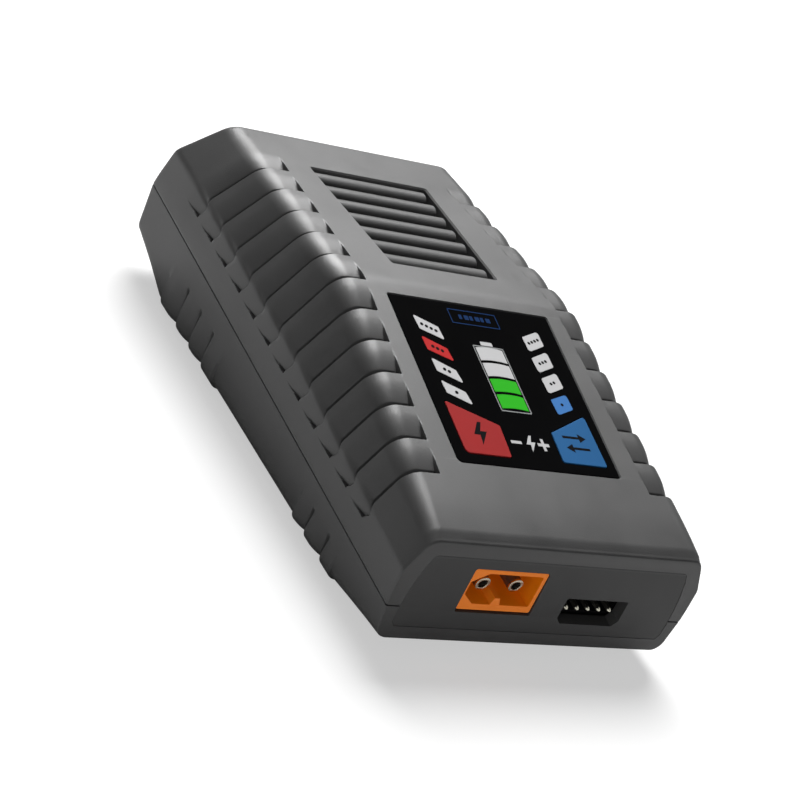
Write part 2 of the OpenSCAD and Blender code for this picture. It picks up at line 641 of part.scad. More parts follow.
module transformer_core() color("#3c3d40") place() bar(51.5, 57.5) translate([7, 11.1])
  difference() {
    square([20, 13.8], center = true);
    for (s = [-1, 1]) translate([s * 5.1, 0]) square([4.4, 8.4], center = true);
  }
module transformer_winding() color("#d8b23a") place() translate([7, 54.5, 0]) difference() {
  slab(7.0, 15.2) round_rect(14, 15, 3);
  slab(6, 16) translate([-2.95, -3.05]) square([5.9, 6.1]);
  slab(6, 16) for (s = [-1, 1]) translate([s * 8.65 - 1.35, -3.05]) square([2.7, 6.1]);
}

// upright plate with four fins; sx points from the fins to the plate
module heatsink(x, sx, y0, y1) {
  box_off(x, sx, 0, 1.6, y0, y1, board_top, 15.5);
  for (i = [0:3]) let (y = y0 + i * (y1 - y0 - 2) / 3)
    box_off(x, sx, 0, -3.4, y + 0.4, y + 1.6, 5.0, 15.5);
}
// tab, body and three legs of a flat power package
module power_package(x, sx, y) {
  box_off(x, sx, 0, 1.3, y - 5, y + 5, 6.0, 15.0);
  box_off(x, sx, 1, 4.2, y - 4.9, y + 4.9, 6.0, 12.0);
  for (i = [-1:1])
    box_off(x, sx, 2, 2.6, y + i * 2.54 - 0.35, y + i * 2.54 + 0.35, board_top, 6.1);
}
module primary_heatsink() color(aluminium) place() heatsink(24.0, -1, 65, 84);
module power_transistor() color("#242528") place() power_package(22.4, -1, 74.5);
module secondary_heatsink() color(aluminium) place() heatsink(-24.0, 1, 42, 58);
module output_rectifier() color("#242528") place() power_package(-22.4, 1, 50);

module charge_inductor() color("#37383b") place() translate([-12, 27, board_top]) {
  slab(0, 5.6) round_rect(11.5, 11.5, 1.6);
  translate([0, 0, 5.6]) cylinder(r = 4.2, h = 0.5);
}
module controller_chip() color("#1a1b1d") place() translate([1, 34, board_top]) {
  slab(0.1, 1.4) round_rect(7, 7, 0.3);
  for (k = [0:3]) rotate([0, 0, 90 * k]) for (i = [-3:3])
    box(i * 0.8 - 0.16, i * 0.8 + 0.16, 3.4, 4.6, 0, 0.35);
}
module balance_resistors() color("#222326") place() for (i = [0:2]) for (j = [0, 1])
  box(9.8 + i * 3.6, 12.2 + i * 3.6, 31.0 + j * 3.4, 32.5 + j * 3.4, board_top, 4.6);
module y_capacitor() color("#2f63b0") place() translate([-15, 68.5, 8.4]) rotate([90, 0, 0])
  translate([0, 0, -1.3]) {
    cylinder(r = 3.6, h = 2.6);
    for (x = [-2.5, 2.5]) translate([x, -1, 1.3]) rotate([90, 0, 0]) cylinder(r = 0.35, h = 3.4);
  }

// ---- Fan, hung under the vent ----
fan_z = -10.5; // underside of the frame
module fan_frame() color("#232427") place() on_vent() {
  difference() {
    slab(fan_z, -3.5) round_rect(30, 30, 2);
    translate([0, 0, -11]) cylinder(r = 14.2, h = 9);
    for (x = [-12, 12]) for (y = [-12, 12]) translate([x, y, -11]) cylinder(r = 1.5, h = 9);
  }
  // hub plate, three spokes and the bearing tube
  difference() {
    union() {
      translate([0, 0, fan_z]) cylinder(r = 6.6, h = 0.9);
      for (k = [0:2]) rotate([0, 0, 20 + 120 * k]) box(-0.8, 0.8, 5, 14.6, fan_z, -9.6);
      translate([0, 0, fan_z]) cylinder(r = 2.1, h = 4.9);
    }
    translate([0, 0, -11]) cylinder(r = 0.8, h = 9);
  }
}
module fan_stator() color("#9c5a2c") place() on_vent() difference() {
  translate([0, 0, -9.5]) union() {
    for (k = [0:3]) rotate([0, 0, 90 * k]) box(-1.2, 1.2, 2.0, 4.7, 0, 3.4);
    cylinder(r = 2.9, h = 3.4);
  }
  translate([0, 0, -11]) cylinder(r = 2.12, h = 9);
}
// hub cup, shaft, and pitched blades trimmed to a ring
module fan_rotor() color("#2b2c30") place() on_vent() {
  difference() {
    translate([0, 0, -9.3]) cylinder(r = 6.1, h = 4.9);
    translate([0, 0, -10]) cylinder(r = 5.1, h = 4.8);
  }
  translate([0, 0, -10.3]) cylinder(r = 0.75, h = 5.3);
  intersection() {
    for (k = [0:fan_blades - 1]) rotate([0, 0, 360 / fan_blades * k])
      translate([9.5, 0, -6.9]) rotate([38, 0, 0])
      translate([-4.2, -3.1, -0.4]) cube([8.4, 6.2, 0.8]);
    translate([0, 0, -9.2]) difference() {
      cylinder(r = 13.5, h = 4.6);
      translate([0, 0, -1]) cylinder(r = 5.8, h = 7);
    }
  }
}
module fan_screws() color(steel) place() on_vent() at_each(fan_holes, fan_z - 1.2)
  screw(head_r = 2.7, head_h = 1.2, shank_r = 0.9, length = 4.5);

module case_screws() color("#8d9094") place() for (p = posts)
  translate([p[0], p[1], p[2] - 1.9]) screw(head_r = 2.4, head_h = 1.9, shank_r = 1.1, length = 13.5);
module rating_label() color("#c9cbcd") place() on_base() slab(0.08, 0.3)
  round_rect(35.4, 25.4, 1.2);

upper_shell();
lower_shell();
front_plate();
vent_grille();
panel_film();
panel_mark();
mode_key();
current_key();
current_lamps();
current_lamp_lit();
type_lamps();
type_lamp_lit();
gauge_frame();
gauge_segments_off();
gauge_segments_on();
badge_frame();
light_shroud();
key_board();
lamp_chips();
mode_switch();
mode_switch_stem();
current_switch();
current_switch_stem();
key_board_screws();
board_link();
main_board();
output_socket();
output_pins();
balance_socket();
balance_pins();
ac_inlet();
ac_pins();
fuse();
line_choke_core();
line_choke_winding();
x_capacitor();
bridge_rectifier();
bulk_capacitors();
transformer_core();
transformer_winding();
power_transistor();
primary_heatsink();
output_rectifier();
secondary_heatsink();
output_capacitors();
charge_inductor();
controller_chip();
balance_resistors();
y_capacitor();
fan_frame();
fan_rotor();
fan_stator();
fan_screws();
main_board_screws();
case_screws();
rating_label();
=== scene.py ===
"""A battery charger: a ribbed case in two shells, sockets front and back, keys and a vent on top.

Lengths are millimetres in the seam frame: x across, y back from the front face, z up, with
the parting line between the shells at z = SEAM. SEAM_FRAME tips the case so that its sloping
underside lies level and scales it to metres. The lights and the camera body are in metres.
"""
import math

import bmesh
import bpy
import numpy as np
from mathutils import Matrix, Vector


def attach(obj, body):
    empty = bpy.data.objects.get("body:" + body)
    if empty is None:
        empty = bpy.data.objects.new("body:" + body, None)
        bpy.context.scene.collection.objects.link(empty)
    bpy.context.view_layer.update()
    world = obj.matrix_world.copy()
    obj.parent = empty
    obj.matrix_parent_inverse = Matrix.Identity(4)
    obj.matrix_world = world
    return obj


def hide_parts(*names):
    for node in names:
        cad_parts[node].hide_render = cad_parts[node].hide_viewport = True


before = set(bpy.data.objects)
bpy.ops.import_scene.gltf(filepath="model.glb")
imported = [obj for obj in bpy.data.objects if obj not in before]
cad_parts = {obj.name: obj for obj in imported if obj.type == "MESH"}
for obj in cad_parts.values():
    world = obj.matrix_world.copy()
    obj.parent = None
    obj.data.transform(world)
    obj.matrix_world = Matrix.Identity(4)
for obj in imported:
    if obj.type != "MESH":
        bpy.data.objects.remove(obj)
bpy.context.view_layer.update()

# ------------------------------------------------------------------ case dimensions
SEAM = 6.1
BASE_TILT = math.radians(4.0)
PIVOT_Y = 54.5
LIFT = 3.3 * math.cos(BASE_TILT) + PIVOT_Y * math.sin(BASE_TILT)
RIDGE_Y, RIDGE_Z = 57.97, 28.66
FRONT_SLOPE, BACK_SLOPE = 0.15723, 0.10366  # of the top, either side of the ridge
FRONT_LEAN, BACK_LEAN = 0.144, 0.148  # of the end faces, along y per z
FRONT_END, BACK_END = 0.0, 108.8
CREASE_X = 33.2  # half width of the upper shell
LOW_X, LOW_LEAN = 33, 0.17  # half width of the lower shell at the seam, and its walls' lean
WALL_X_TOP, WALL_X_LOW = 30.8, 30.6  # half widths of the cavities
PANEL_Y, VENT_Y, BASE_Y = 36.8, 79.7, 50  # origins of the frames on the top and the underside


def table(y, points):
    """Looks y up in rows of (y, value)."""
    points = np.array(points, float)
    return np.interp(y, points[:, 0], points[:, 1])


def top_z(y):
    """Height of the top: two slopes that meet at a slightly softened ridge."""
    y = np.asarray(y, float)
    droop = np.where(y < 12, 0.48 * ((12 - y) / 9.2) ** 2, 0)
    front = RIDGE_Z - FRONT_SLOPE * (RIDGE_Y - y) - droop
    back = RIDGE_Z - BACK_SLOPE * (y - RIDGE_Y)
    z = np.where(y < RIDGE_Y, front, back)
    away = np.abs(y - RIDGE_Y)
    return z - np.where(away < 1.6, 0.052 * (1.6 - away) ** 2 / 1.6, 0)


def top_edge_x(y):
    """Half width of the top, before its edge is rounded."""
    return table(y, [[3, 30.3], [16, 30.4], [23, 30.0], [44, 28.6], [50, 28.1],
                     [64, 27.8], [78, 26.7], [92, 26.1], [106, 25.6]])


def crease_z(y):
    """Height where the side wall turns inward."""
    return table(y, [[3, 12.9], [20, 13.7], [50, 15.3]])


def top_radius(y):
    return table(y, [[3, 3.0], [16, 4.2], [50, 4.8]])


def bottom_z(y):
    return table(y, [[-2, 0.15], [0, -0.3], [16, -3.919], [94, -9.373], [109, -4.4], [112, -3.4]])


def bottom_radius(y):
    return table(y, [[0, 2.6], [10, 3], [100, 3], [109, 2.2]])


def tilt(angle):
    return Matrix.Rotation(angle, 4, "X")


def surface_frame(y, z, angle):
    return SEAM_FRAME @ Matrix.Translation((0, y, float(z))) @ tilt(angle)


SEAM_FRAME = (Matrix.Scale(0.001, 4) @ Matrix.Translation((0, -0.05, LIFT)) @ tilt(BASE_TILT)
              @ Matrix.Translation((0, -PIVOT_Y, 0)))
PANEL_TILT, VENT_TILT = math.atan(FRONT_SLOPE), math.atan(BACK_SLOPE)
PANEL = surface_frame(PANEL_Y, top_z(PANEL_Y), PANEL_TILT)
VENT = surface_frame(VENT_Y, top_z(VENT_Y), -VENT_TILT)
UNDERSIDE = surface_frame(BASE_Y, bottom_z(BASE_Y), -BASE_TILT)
# for outlines drawn in x and z and extruded along y
UPRIGHT = SEAM_FRAME @ tilt(math.radians(90))


def panel_v(y):
    """Distance up the panel's slope for a place y in the seam frame."""
    return (y - PANEL_Y) / math.cos(PANEL_TILT)


def vent_v(y):
    return (y - VENT_Y) / math.cos(VENT_TILT)


def on_panel(points):
    return [(x, panel_v(y)) for x, y in points]


# ------------------------------------------------------------------ mesh helpers
def link(o):
    bpy.context.scene.collection.objects.link(o)
    return o


def loft(rings, matrix=SEAM_FRAME, name="loft"):
    """A closed solid through rings of the same point count."""
    last, n = len(rings) - 1, len(rings[0])
    faces = [tuple(range(n - 1, -1, -1)), tuple(last * n + j for j in range(n))]
    for i in range(last):
        near, far = i * n, (i + 1) * n
        for j in range(n):
            k = (j + 1) % n
            faces.append((near + j, near + k, far + k, far + j))
    mesh = bpy.data.meshes.new(name)
    mesh.from_pydata([tuple(v) for v in np.concatenate(rings)], [], faces)
    mesh.transform(matrix)
    bm = bmesh.new()
    bm.from_mesh(mesh)
    bmesh.ops.remove_doubles(bm, verts=bm.verts, dist=1e-7)
    bmesh.ops.recalc_face_normals(bm, faces=bm.faces)
    bm.to_mesh(mesh)
    bm.free()
    return link(bpy.data.objects.new(name, mesh))


def cut(o, *tools, operation="DIFFERENCE"):
    """Applies the tools to o as booleans and removes them."""
    for tool in tools:
        boolean = o.modifiers.new("boolean", "BOOLEAN")
        boolean.operation, boolean.object, boolean.solver = operation, tool, "MANIFOLD"
    bpy.context.view_layer.update()
    depsgraph = bpy.context.evaluated_depsgraph_get()
    mesh = bpy.data.meshes.new_from_object(o.evaluated_get(depsgraph), depsgraph=depsgraph)
    o.modifiers.clear()
    o.data = mesh
    for tool in tools:
        bpy.data.objects.remove(tool)


def arc(centre, radius, angles):
    return [(centre[0] + radius * math.cos(t), centre[1] + radius * math.sin(t)) for t in angles]


def circle(x, y, radius, n=40):
    return arc((x, y), radius, [2 * math.pi * i / n for i in range(n)])


def round_corners(points, radii, n=5):
    """Rounds a polygon's corners in n steps; radii is one radius or one per corner."""
    out, count = [], len(points)
    for i in range(count):
        before, corner, after = (Vector(points[(i + d) % count]) for d in (-1, 0, 1))
        radius = radii[i] if isinstance(radii, list) else radii
        u, v = (before - corner).normalized(), (after - corner).normalized()
        half = u.angle(v) / 2
        reach = min(radius / math.tan(half), 0.45 * (before - corner).length,
                    0.45 * (after - corner).length)
        radius = reach * math.tan(half)
        centre = corner + (u + v).normalized() * (radius / math.sin(half))
        p, q = corner + u * reach - centre, corner + v * reach - centre
        sweep = math.atan2(p.x * q.y - p.y * q.x, p.dot(q))
        for s in range(n + 1):
            w = sweep * s / n
            out.append((centre.x + p.x * math.cos(w) - p.y * math.sin(w),
                        centre.y + p.x * math.sin(w) + p.y * math.cos(w)))
    return out


def box(x0, x1, y0, y1, radii=0, n=4):
    """A rectangle's outline, rounded if radii are given."""
    points = [(x0, y0), (x1, y0), (x1, y1), (x0, y1)]
    return round_corners(points, radii, n) if radii else points


def outward(edge, away):
    """The normal of an edge direction on the side of away."""
    normal = Vector((edge.y, -edge.x))
    return -normal if normal.dot(away) < 0 else normal


def grow(points, distance):
    """Moves a polygon's sides outward."""
    n, out = len(points), []
    middle = Vector((sum(p[0] for p in points) / n, sum(p[1] for p in points) / n))
    for i in range(n):
        a, b, c = Vector(points[i - 1]), Vector(points[i]), Vector(points[(i + 1) % n])
        n1 = outward((b - a).normalized(), b - middle)
        n2 = outward((c - b).normalized(), b - middle)
        k = distance / max(0.3, 1 + n1.dot(n2))
        p = b + (n1 + n2) * k
        out.append((p.x, p.y))
    return out


def slab(loops, z0, z1, matrix, bevel=0.0, res=2, name="slab"):
    """A plate between two heights with bevelled rims: an outline, then its holes or islands."""
    curve = bpy.data.curves.new(name, "CURVE")
    curve.dimensions, curve.fill_mode = "2D", "BOTH"
    for points in loops:
        spline = curve.splines.new("POLY")
        spline.points.add(len(points) - 1)
        for q, p in zip(spline.points, points):
            q.co = (p[0], p[1], 0, 1)
        spline.use_cyclic_u = True
    curve.extrude = (z1 - z0) / 2 - bevel
    curve.bevel_depth, curve.bevel_resolution, curve.offset = bevel, res, -bevel
    drawn = link(bpy.data.objects.new(name + "_curve", curve))
    depsgraph = bpy.context.evaluated_depsgraph_get()
    mesh = bpy.data.meshes.new_from_object(drawn.evaluated_get(depsgraph), depsgraph=depsgraph)
    bpy.data.objects.remove(drawn)
    bpy.data.curves.remove(curve)
    bm = bmesh.new()
    bm.from_mesh(mesh)
    bmesh.ops.remove_doubles(bm, verts=bm.verts, dist=1e-4)
    bmesh.ops.translate(bm, verts=bm.verts, vec=(0, 0, (z0 + z1) / 2))
    bmesh.ops.recalc_face_normals(bm, faces=bm.faces)
    bm.to_mesh(mesh)
    bm.free()
    mesh.transform(matrix)
    mesh.name = name
    return link(bpy.data.objects.new(name, mesh))


def upright_slab(loops, y0, y1, bevel=0.0, res=2):
    """A slab drawn in x and z that runs from y0 to y1."""
    return slab(loops, -y1, -y0, UPRIGHT, bevel, res)


def lathe(profile, matrix, n=48, x=0, y=0):
    """A solid of revolution about z through x, y; profile rows are (radius, z)."""
    return loft([np.array([(*p, z) for p in circle(x, y, r, n)]) for r, z in profile], matrix)


def cylinder(x, y, z0, z1, radius, matrix=SEAM_FRAME):
    return lathe([(radius, z0), (radius, z1)], matrix, 40, x, y)


def cylinders(places, z0, z1, radius, matrix=SEAM_FRAME):
    return [cylinder(x, y, z0, z1, radius, matrix) for x, y in places]


def join(name, parts):
    bm = bmesh.new()
    for o in parts:
        bm.from_mesh(o.data)
        bpy.data.objects.remove(o)
    mesh = bpy.data.meshes.new(name)
    bm.to_mesh(mesh)
    bm.free()
    return link(bpy.data.objects.new(name, mesh))


def soften(o, angle):
    """Smooth shading, with edges sharper than angle degrees kept as creases."""
    bm = bmesh.new()
    bm.from_mesh(o.data)
    limit = math.radians(angle)
    for f in bm.faces:
        f.smooth = True
    for e in bm.edges:
        e.smooth = len(e.link_faces) == 2 and e.calc_face_angle(0.0) < limit
    bm.to_mesh(o.data)
    bm.free()


# ------------------------------------------------------------------ materials
def add_node(tree, kind, values=(), **settings):
    """A shader node with its settings and then its input values."""
    node = tree.nodes.new("ShaderNode" + kind)
    for key, value in settings.items():
        setattr(node, key, value)
    for key, value in dict(values).items():
        node.inputs[key].default_value = value
    return node


def material(name, colour, rough, grain, mottle, wear, metal=0.0, grain_scale=4000.0,
             emit=0.0, coat=0.0, rough_var=0.08, streak=False, spec=0.5):
    """Softly varied base colour with worn edges, varied roughness and a moulded-in bump."""
    made = bpy.data.materials.new(name)
    made.use_nodes = True
    tree = made.node_tree
    wire = tree.links.new
    bsdf = tree.nodes["Principled BSDF"]
    geometry = add_node(tree, "NewGeometry")
    coords = add_node(tree, "TexCoord")
    mapping = add_node(tree, "Mapping")
    wire(coords.outputs["Object"], mapping.inputs["Vector"])
    if streak:
        mapping.inputs["Scale"].default_value = (1.0, 22.0, 22.0)
    soft = add_node(tree, "TexNoise", {"Scale": 90.0, "Detail": 5.0, "Roughness": 0.6})
    fine = add_node(tree, "TexNoise", {"Scale": grain_scale, "Detail": 3.0})
    for noise in (soft, fine):
        wire(mapping.outputs["Vector"], noise.inputs["Vector"])
    # mottled colour
    colour = np.array(colour, float)
    ramp = add_node(tree, "ValToRGB")
    for stop, place, share in zip(ramp.color_ramp.elements, (0.32, 0.68), (1 - mottle, 1 + mottle)):
        stop.position = place
        stop.color = (*np.clip(colour * share, 0, 1), 1)
    wire(soft.outputs["Fac"], ramp.inputs["Fac"])
    # worn edges, broken up by the soft noise
    edge = add_node(tree, "MapRange",
                    {"From Min": 0.52, "From Max": 0.62, "To Min": 0.0, "To Max": 1.0})
    wire(geometry.outputs["Pointiness"], edge.inputs["Value"])
    breakup = add_node(tree, "Math", operation="MULTIPLY")
    wire(edge.outputs["Result"], breakup.inputs[0])
    wire(soft.outputs["Fac"], breakup.inputs[1])
    amount = add_node(tree, "Math", {1: wear}, operation="MULTIPLY")
    wire(breakup.outputs[0], amount.inputs[0])
    worn = np.clip(colour * 0.5 + 0.42 if metal < 0.5 else colour * 1.15, 0, 1)
    mix = add_node(tree, "Mix", {"B": (*worn, 1)}, data_type="RGBA")
    wire(amount.outputs[0], mix.inputs["Factor"])
    wire(ramp.outputs["Color"], mix.inputs["A"])
    wire(mix.outputs["Result"], bsdf.inputs["Base Color"])
    # roughness
    varied = add_node(tree, "MapRange", {
        "To Min": max(0.03, rough - rough_var), "To Max": min(1.0, rough + rough_var),
        "From Min": 0.3, "From Max": 0.7})
    wire(soft.outputs["Fac"], varied.inputs["Value"])
    wire(varied.outputs["Result"], bsdf.inputs["Roughness"])
    bsdf.inputs["Metallic"].default_value = metal
    bsdf.inputs["Specular IOR Level"].default_value = spec
    bsdf.inputs["Coat Weight"].default_value = coat
    bsdf.inputs["Coat Roughness"].default_value = 0.12
    bump = add_node(tree, "Bump", {"Strength": grain, "Distance": 0.00006})
    wire(fine.outputs["Fac"], bump.inputs["Height"])
    wire(bump.outputs["Normal"], bsdf.inputs["Normal"])
    # emission: real glow for the lamps, painted glow on parts that are no lamps
    if emit > 0:
        wire(mix.outputs["Result"], bsdf.inputs["Emission Color"])
        bsdf.inputs["Emission Strength"].default_value = emit
    return made


# name: base colour, roughness, bump strength, colour variation, edge wear, other arguments
MATERIALS = {
    "case_plastic": ((0.074, 0.074, 0.074), 0.43, 0.35, 0.05, 0.10,
                     dict(grain_scale=5200, rough_var=0.05, spec=0.62)),
    # lighter copy of the case plastic: painted light standing in for the floor's bounce on the
    # lower shell
    "case_plastic_low_painted_light": ((0.096, 0.096, 0.096), 0.46, 0.35, 0.05, 0.10,
                         dict(grain_scale=5200, rough_var=0.06, spec=0.42)),
    # lighter than the case plastic: painted light on the front face
    "plate_plastic_painted_light": ((0.086, 0.086, 0.086), 0.55, 0.3, 0.05, 0.08,
                      dict(grain_scale=5200, spec=0.35)),
    "slat_plastic": ((0.065, 0.065, 0.065), 0.52, 0.3, 0.05, 0.10, dict(grain_scale=5200)),
    "film_black": ((0.0040, 0.0040, 0.0042), 0.6, 0.06, 0.10, 0.0,
                   dict(grain_scale=5200, spec=0.0)),
    "print_white": ((0.53, 0.53, 0.535), 0.55, 0.08, 0.03, 0.0, dict(spec=0.1)),
    "print_line": ((0.26, 0.27, 0.27), 0.55, 0.08, 0.03, 0.0, dict(spec=0.05)),
    "print_ink": ((0.006, 0.006, 0.007), 0.6, 0.06, 0.03, 0.0, dict(spec=0.02)),
    "key_red": ((0.345, 0.021, 0.021), 0.55, 0.12, 0.05, 0.05, dict(spec=0.06)),
    "key_blue": ((0.019, 0.112, 0.285), 0.55, 0.12, 0.05, 0.05, dict(spec=0.06)),
    "lit_red": ((0.45, 0.018, 0.018), 0.55, 0.08, 0.03, 0.0, dict(emit=0.12, spec=0.05)),
    "lit_blue": ((0.048, 0.165, 0.42), 0.55, 0.08, 0.03, 0.0, dict(emit=0.12, spec=0.05)),
    "lit_green": ((0.022, 0.42, 0.010), 0.55, 0.08, 0.03, 0.0, dict(emit=0.06, spec=0.05)),
    "print_badge": ((0.007, 0.030, 0.105), 0.55, 0.08, 0.03, 0.0, dict(spec=0.02)),
    # orange nylon made to glow though it is no lamp: painted light on the socket's face; the inside
    # copy glows less, as painted shade in its cavity
    "orange_nylon_painted_glow": ((0.98, 0.25, 0.030), 0.5, 0.15, 0.04, 0.08, dict(spec=0.2, emit=0.22)),
    "orange_nylon_painted_shade": ((0.94, 0.27, 0.006), 0.5, 0.15, 0.04, 0.06,
                            dict(spec=0.12, emit=0.06)),
    "nylon_black": ((0.008, 0.008, 0.009), 0.5, 0.25, 0.08, 0.10, {}),
    "moulding_black": ((0.012, 0.012, 0.013), 0.45, 0.25, 0.08, 0.14, {}),
    "contact_plated": ((0.78, 0.70, 0.55), 0.22, 0.1, 0.05, 0.2, dict(metal=1.0, streak=True)),
    # tinned tips made to glow though they are no lamp: painted glint at the socket's holes
    "tinned_tip_painted_glow": ((0.90, 0.88, 0.72), 0.3, 0.1, 0.05, 0.2, dict(metal=0.2, emit=0.3)),
    # darkened copy of the plated metal: painted shade on the pins deep inside the sockets
    "shank_metal_painted_shade": ((0.20, 0.19, 0.17), 0.4, 0.1, 0.05, 0.1, dict(metal=0.8)),
    "steel_plated": ((0.60, 0.61, 0.63), 0.3, 0.15, 0.06, 0.3, dict(metal=1.0, streak=True)),
    "steel_dark": ((0.20, 0.205, 0.215), 0.35, 0.15, 0.08, 0.4, dict(metal=1.0)),
    "aluminium_mill": ((0.68, 0.69, 0.71), 0.34, 0.2, 0.05, 0.2, dict(metal=1.0, streak=True)),
    "laminate_green": ((0.012, 0.10, 0.035), 0.4, 0.25, 0.12, 0.25,
                       dict(grain_scale=2600, coat=0.3)),
    "moulding_white": ((0.72, 0.72, 0.68), 0.5, 0.2, 0.03, 0.05, {}),
    "lamp_chip": ((0.80, 0.74, 0.42), 0.3, 0.1, 0.05, 0.1, dict(emit=0.2)),
    "ferrite": ((0.035, 0.035, 0.038), 0.7, 0.5, 0.15, 0.3, dict(grain_scale=2500)),
    "tape_yellow": ((0.72, 0.47, 0.04), 0.32, 0.15, 0.06, 0.05,
                    dict(grain_scale=1800, coat=0.3)),
    "copper_enamel": ((0.52, 0.20, 0.07), 0.3, 0.2, 0.12, 0.2, dict(metal=0.9, coat=0.3)),
    "core_coated": ((0.30, 0.34, 0.09), 0.45, 0.3, 0.1, 0.25, {}),
    "sleeve_blue": ((0.02, 0.035, 0.10), 0.28, 0.08, 0.06, 0.1, dict(coat=0.4)),
    "sleeve_green": ((0.015, 0.06, 0.03), 0.28, 0.08, 0.06, 0.1, dict(coat=0.4)),
    "box_yellow": ((0.62, 0.40, 0.03), 0.38, 0.15, 0.06, 0.12, {}),
    "disc_blue": ((0.02, 0.10, 0.42), 0.3, 0.1, 0.06, 0.05, dict(coat=0.4)),
    "fuse_brown": ((0.07, 0.03, 0.02), 0.35, 0.15, 0.08, 0.1, {}),
    "label_silver": ((0.50, 0.51, 0.52), 0.42, 0.12, 0.04, 0.05, dict(metal=0.35)),
    "stem_white": ((0.66, 0.66, 0.62), 0.45, 0.2, 0.04, 0.1, {}),
}
MADE = {name: material(name, *row, **extra) for name, (*row, extra) in MATERIALS.items()}


def piece(o, look, slot, body="housing", replaces=True, crease=32.0):
    """Finishes a piece, attaches it to its body and, where it replaces one, hides the CAD node
    named slot.
    """
    o.data.materials.clear()
    o.data.materials.append(MADE[look])
    soften(o, crease)
    normals = o.modifiers.new("normals", "WEIGHTED_NORMAL")
    normals.keep_sharp, normals.weight = True, 60
    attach(o, body)
    if replaces:
        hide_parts(slot)
    return o


# ------------------------------------------------------------------ shell sections
RIB_PITCH = 6.907
VALLEYS = [92.08 - RIB_PITCH * i for i in range(12)]
LOW_VALLEYS = [84.8, 78.7, 72.8, 27.0, 20.6]
DEPTH, RAMP = 1.1, 5.2  # groove depth and length on the upper shell
LOW_DEPTH, LOW_RAMP = 1.05, 4.8
STEP = 0.32  # length of a groove's steep side
END_ROUND = 0.35  # rounding of the shells' rims at the end faces


def smooth(t):
    t = np.clip(t, 0, 1)
    return t * t * (3 - 2 * t)


def wave(u, depth, length):
    """Groove depth at u behind a valley: a steep step in front of it, a slow ramp behind."""
    fade = np.clip(1 - u / length, 0, 1) ** 1.8
    ramp = np.where((u >= 0) & (u < length), depth * fade, 0)
    step = np.where((u < 0) & (u > -STEP), depth * smooth(1 + u / STEP), 0)
    return ramp + step


def slot_depth(u, depth, full, end):
    """The narrow line cut along a valley, at full depth up to full and gone at end."""
    return depth * smooth(1 + np.minimum(u, 0) / 0.12) * (1 - smooth((u - full) / (end - full)))


def deepest(shape, y, valleys, *sizes):
    return float(np.max([shape(y - v, *sizes) for v in valleys], axis=0))


def pad(y):
    """How far the two gripping bands stand out from the lower shell."""
    return 0.5 * table(y, [[16.6, 0], [17, 1], [31.6, 1], [32.0, 0],
                           [67.6, 0], [68, 1], [92, 1], [92.4, 0]])


def unit(v):
    v = np.array(v)
    return v / np.linalg.norm(v)


def corner_centre(x, z, side, radius):
    """Centre of the arc that rounds the corner at x, z, from a wall along side to a flat."""
    turn = math.acos(-side[0])
    return np.array([x, z]) + unit(side + np.array([-1, 0])) * radius / math.sin(turn / 2)


def path_length(path):
    return np.linalg.norm(np.diff(path, axis=0), axis=1).sum()


def resample(path, stops):
    """Points on a path at distances along it, and the normals to the right of travel."""
    run = np.r_[0, np.cumsum(np.linalg.norm(np.diff(path, axis=0), axis=1))]
    at = np.clip(stops, 0, run[-1])
    points = np.c_[np.interp(at, run, path[:, 0]), np.interp(at, run, path[:, 1])]
    tangent = np.gradient(points, stops, axis=0)
    tangent /= np.linalg.norm(tangent, axis=1)[:, None]
    return points, np.c_[tangent[:, 1], -tangent[:, 0]]


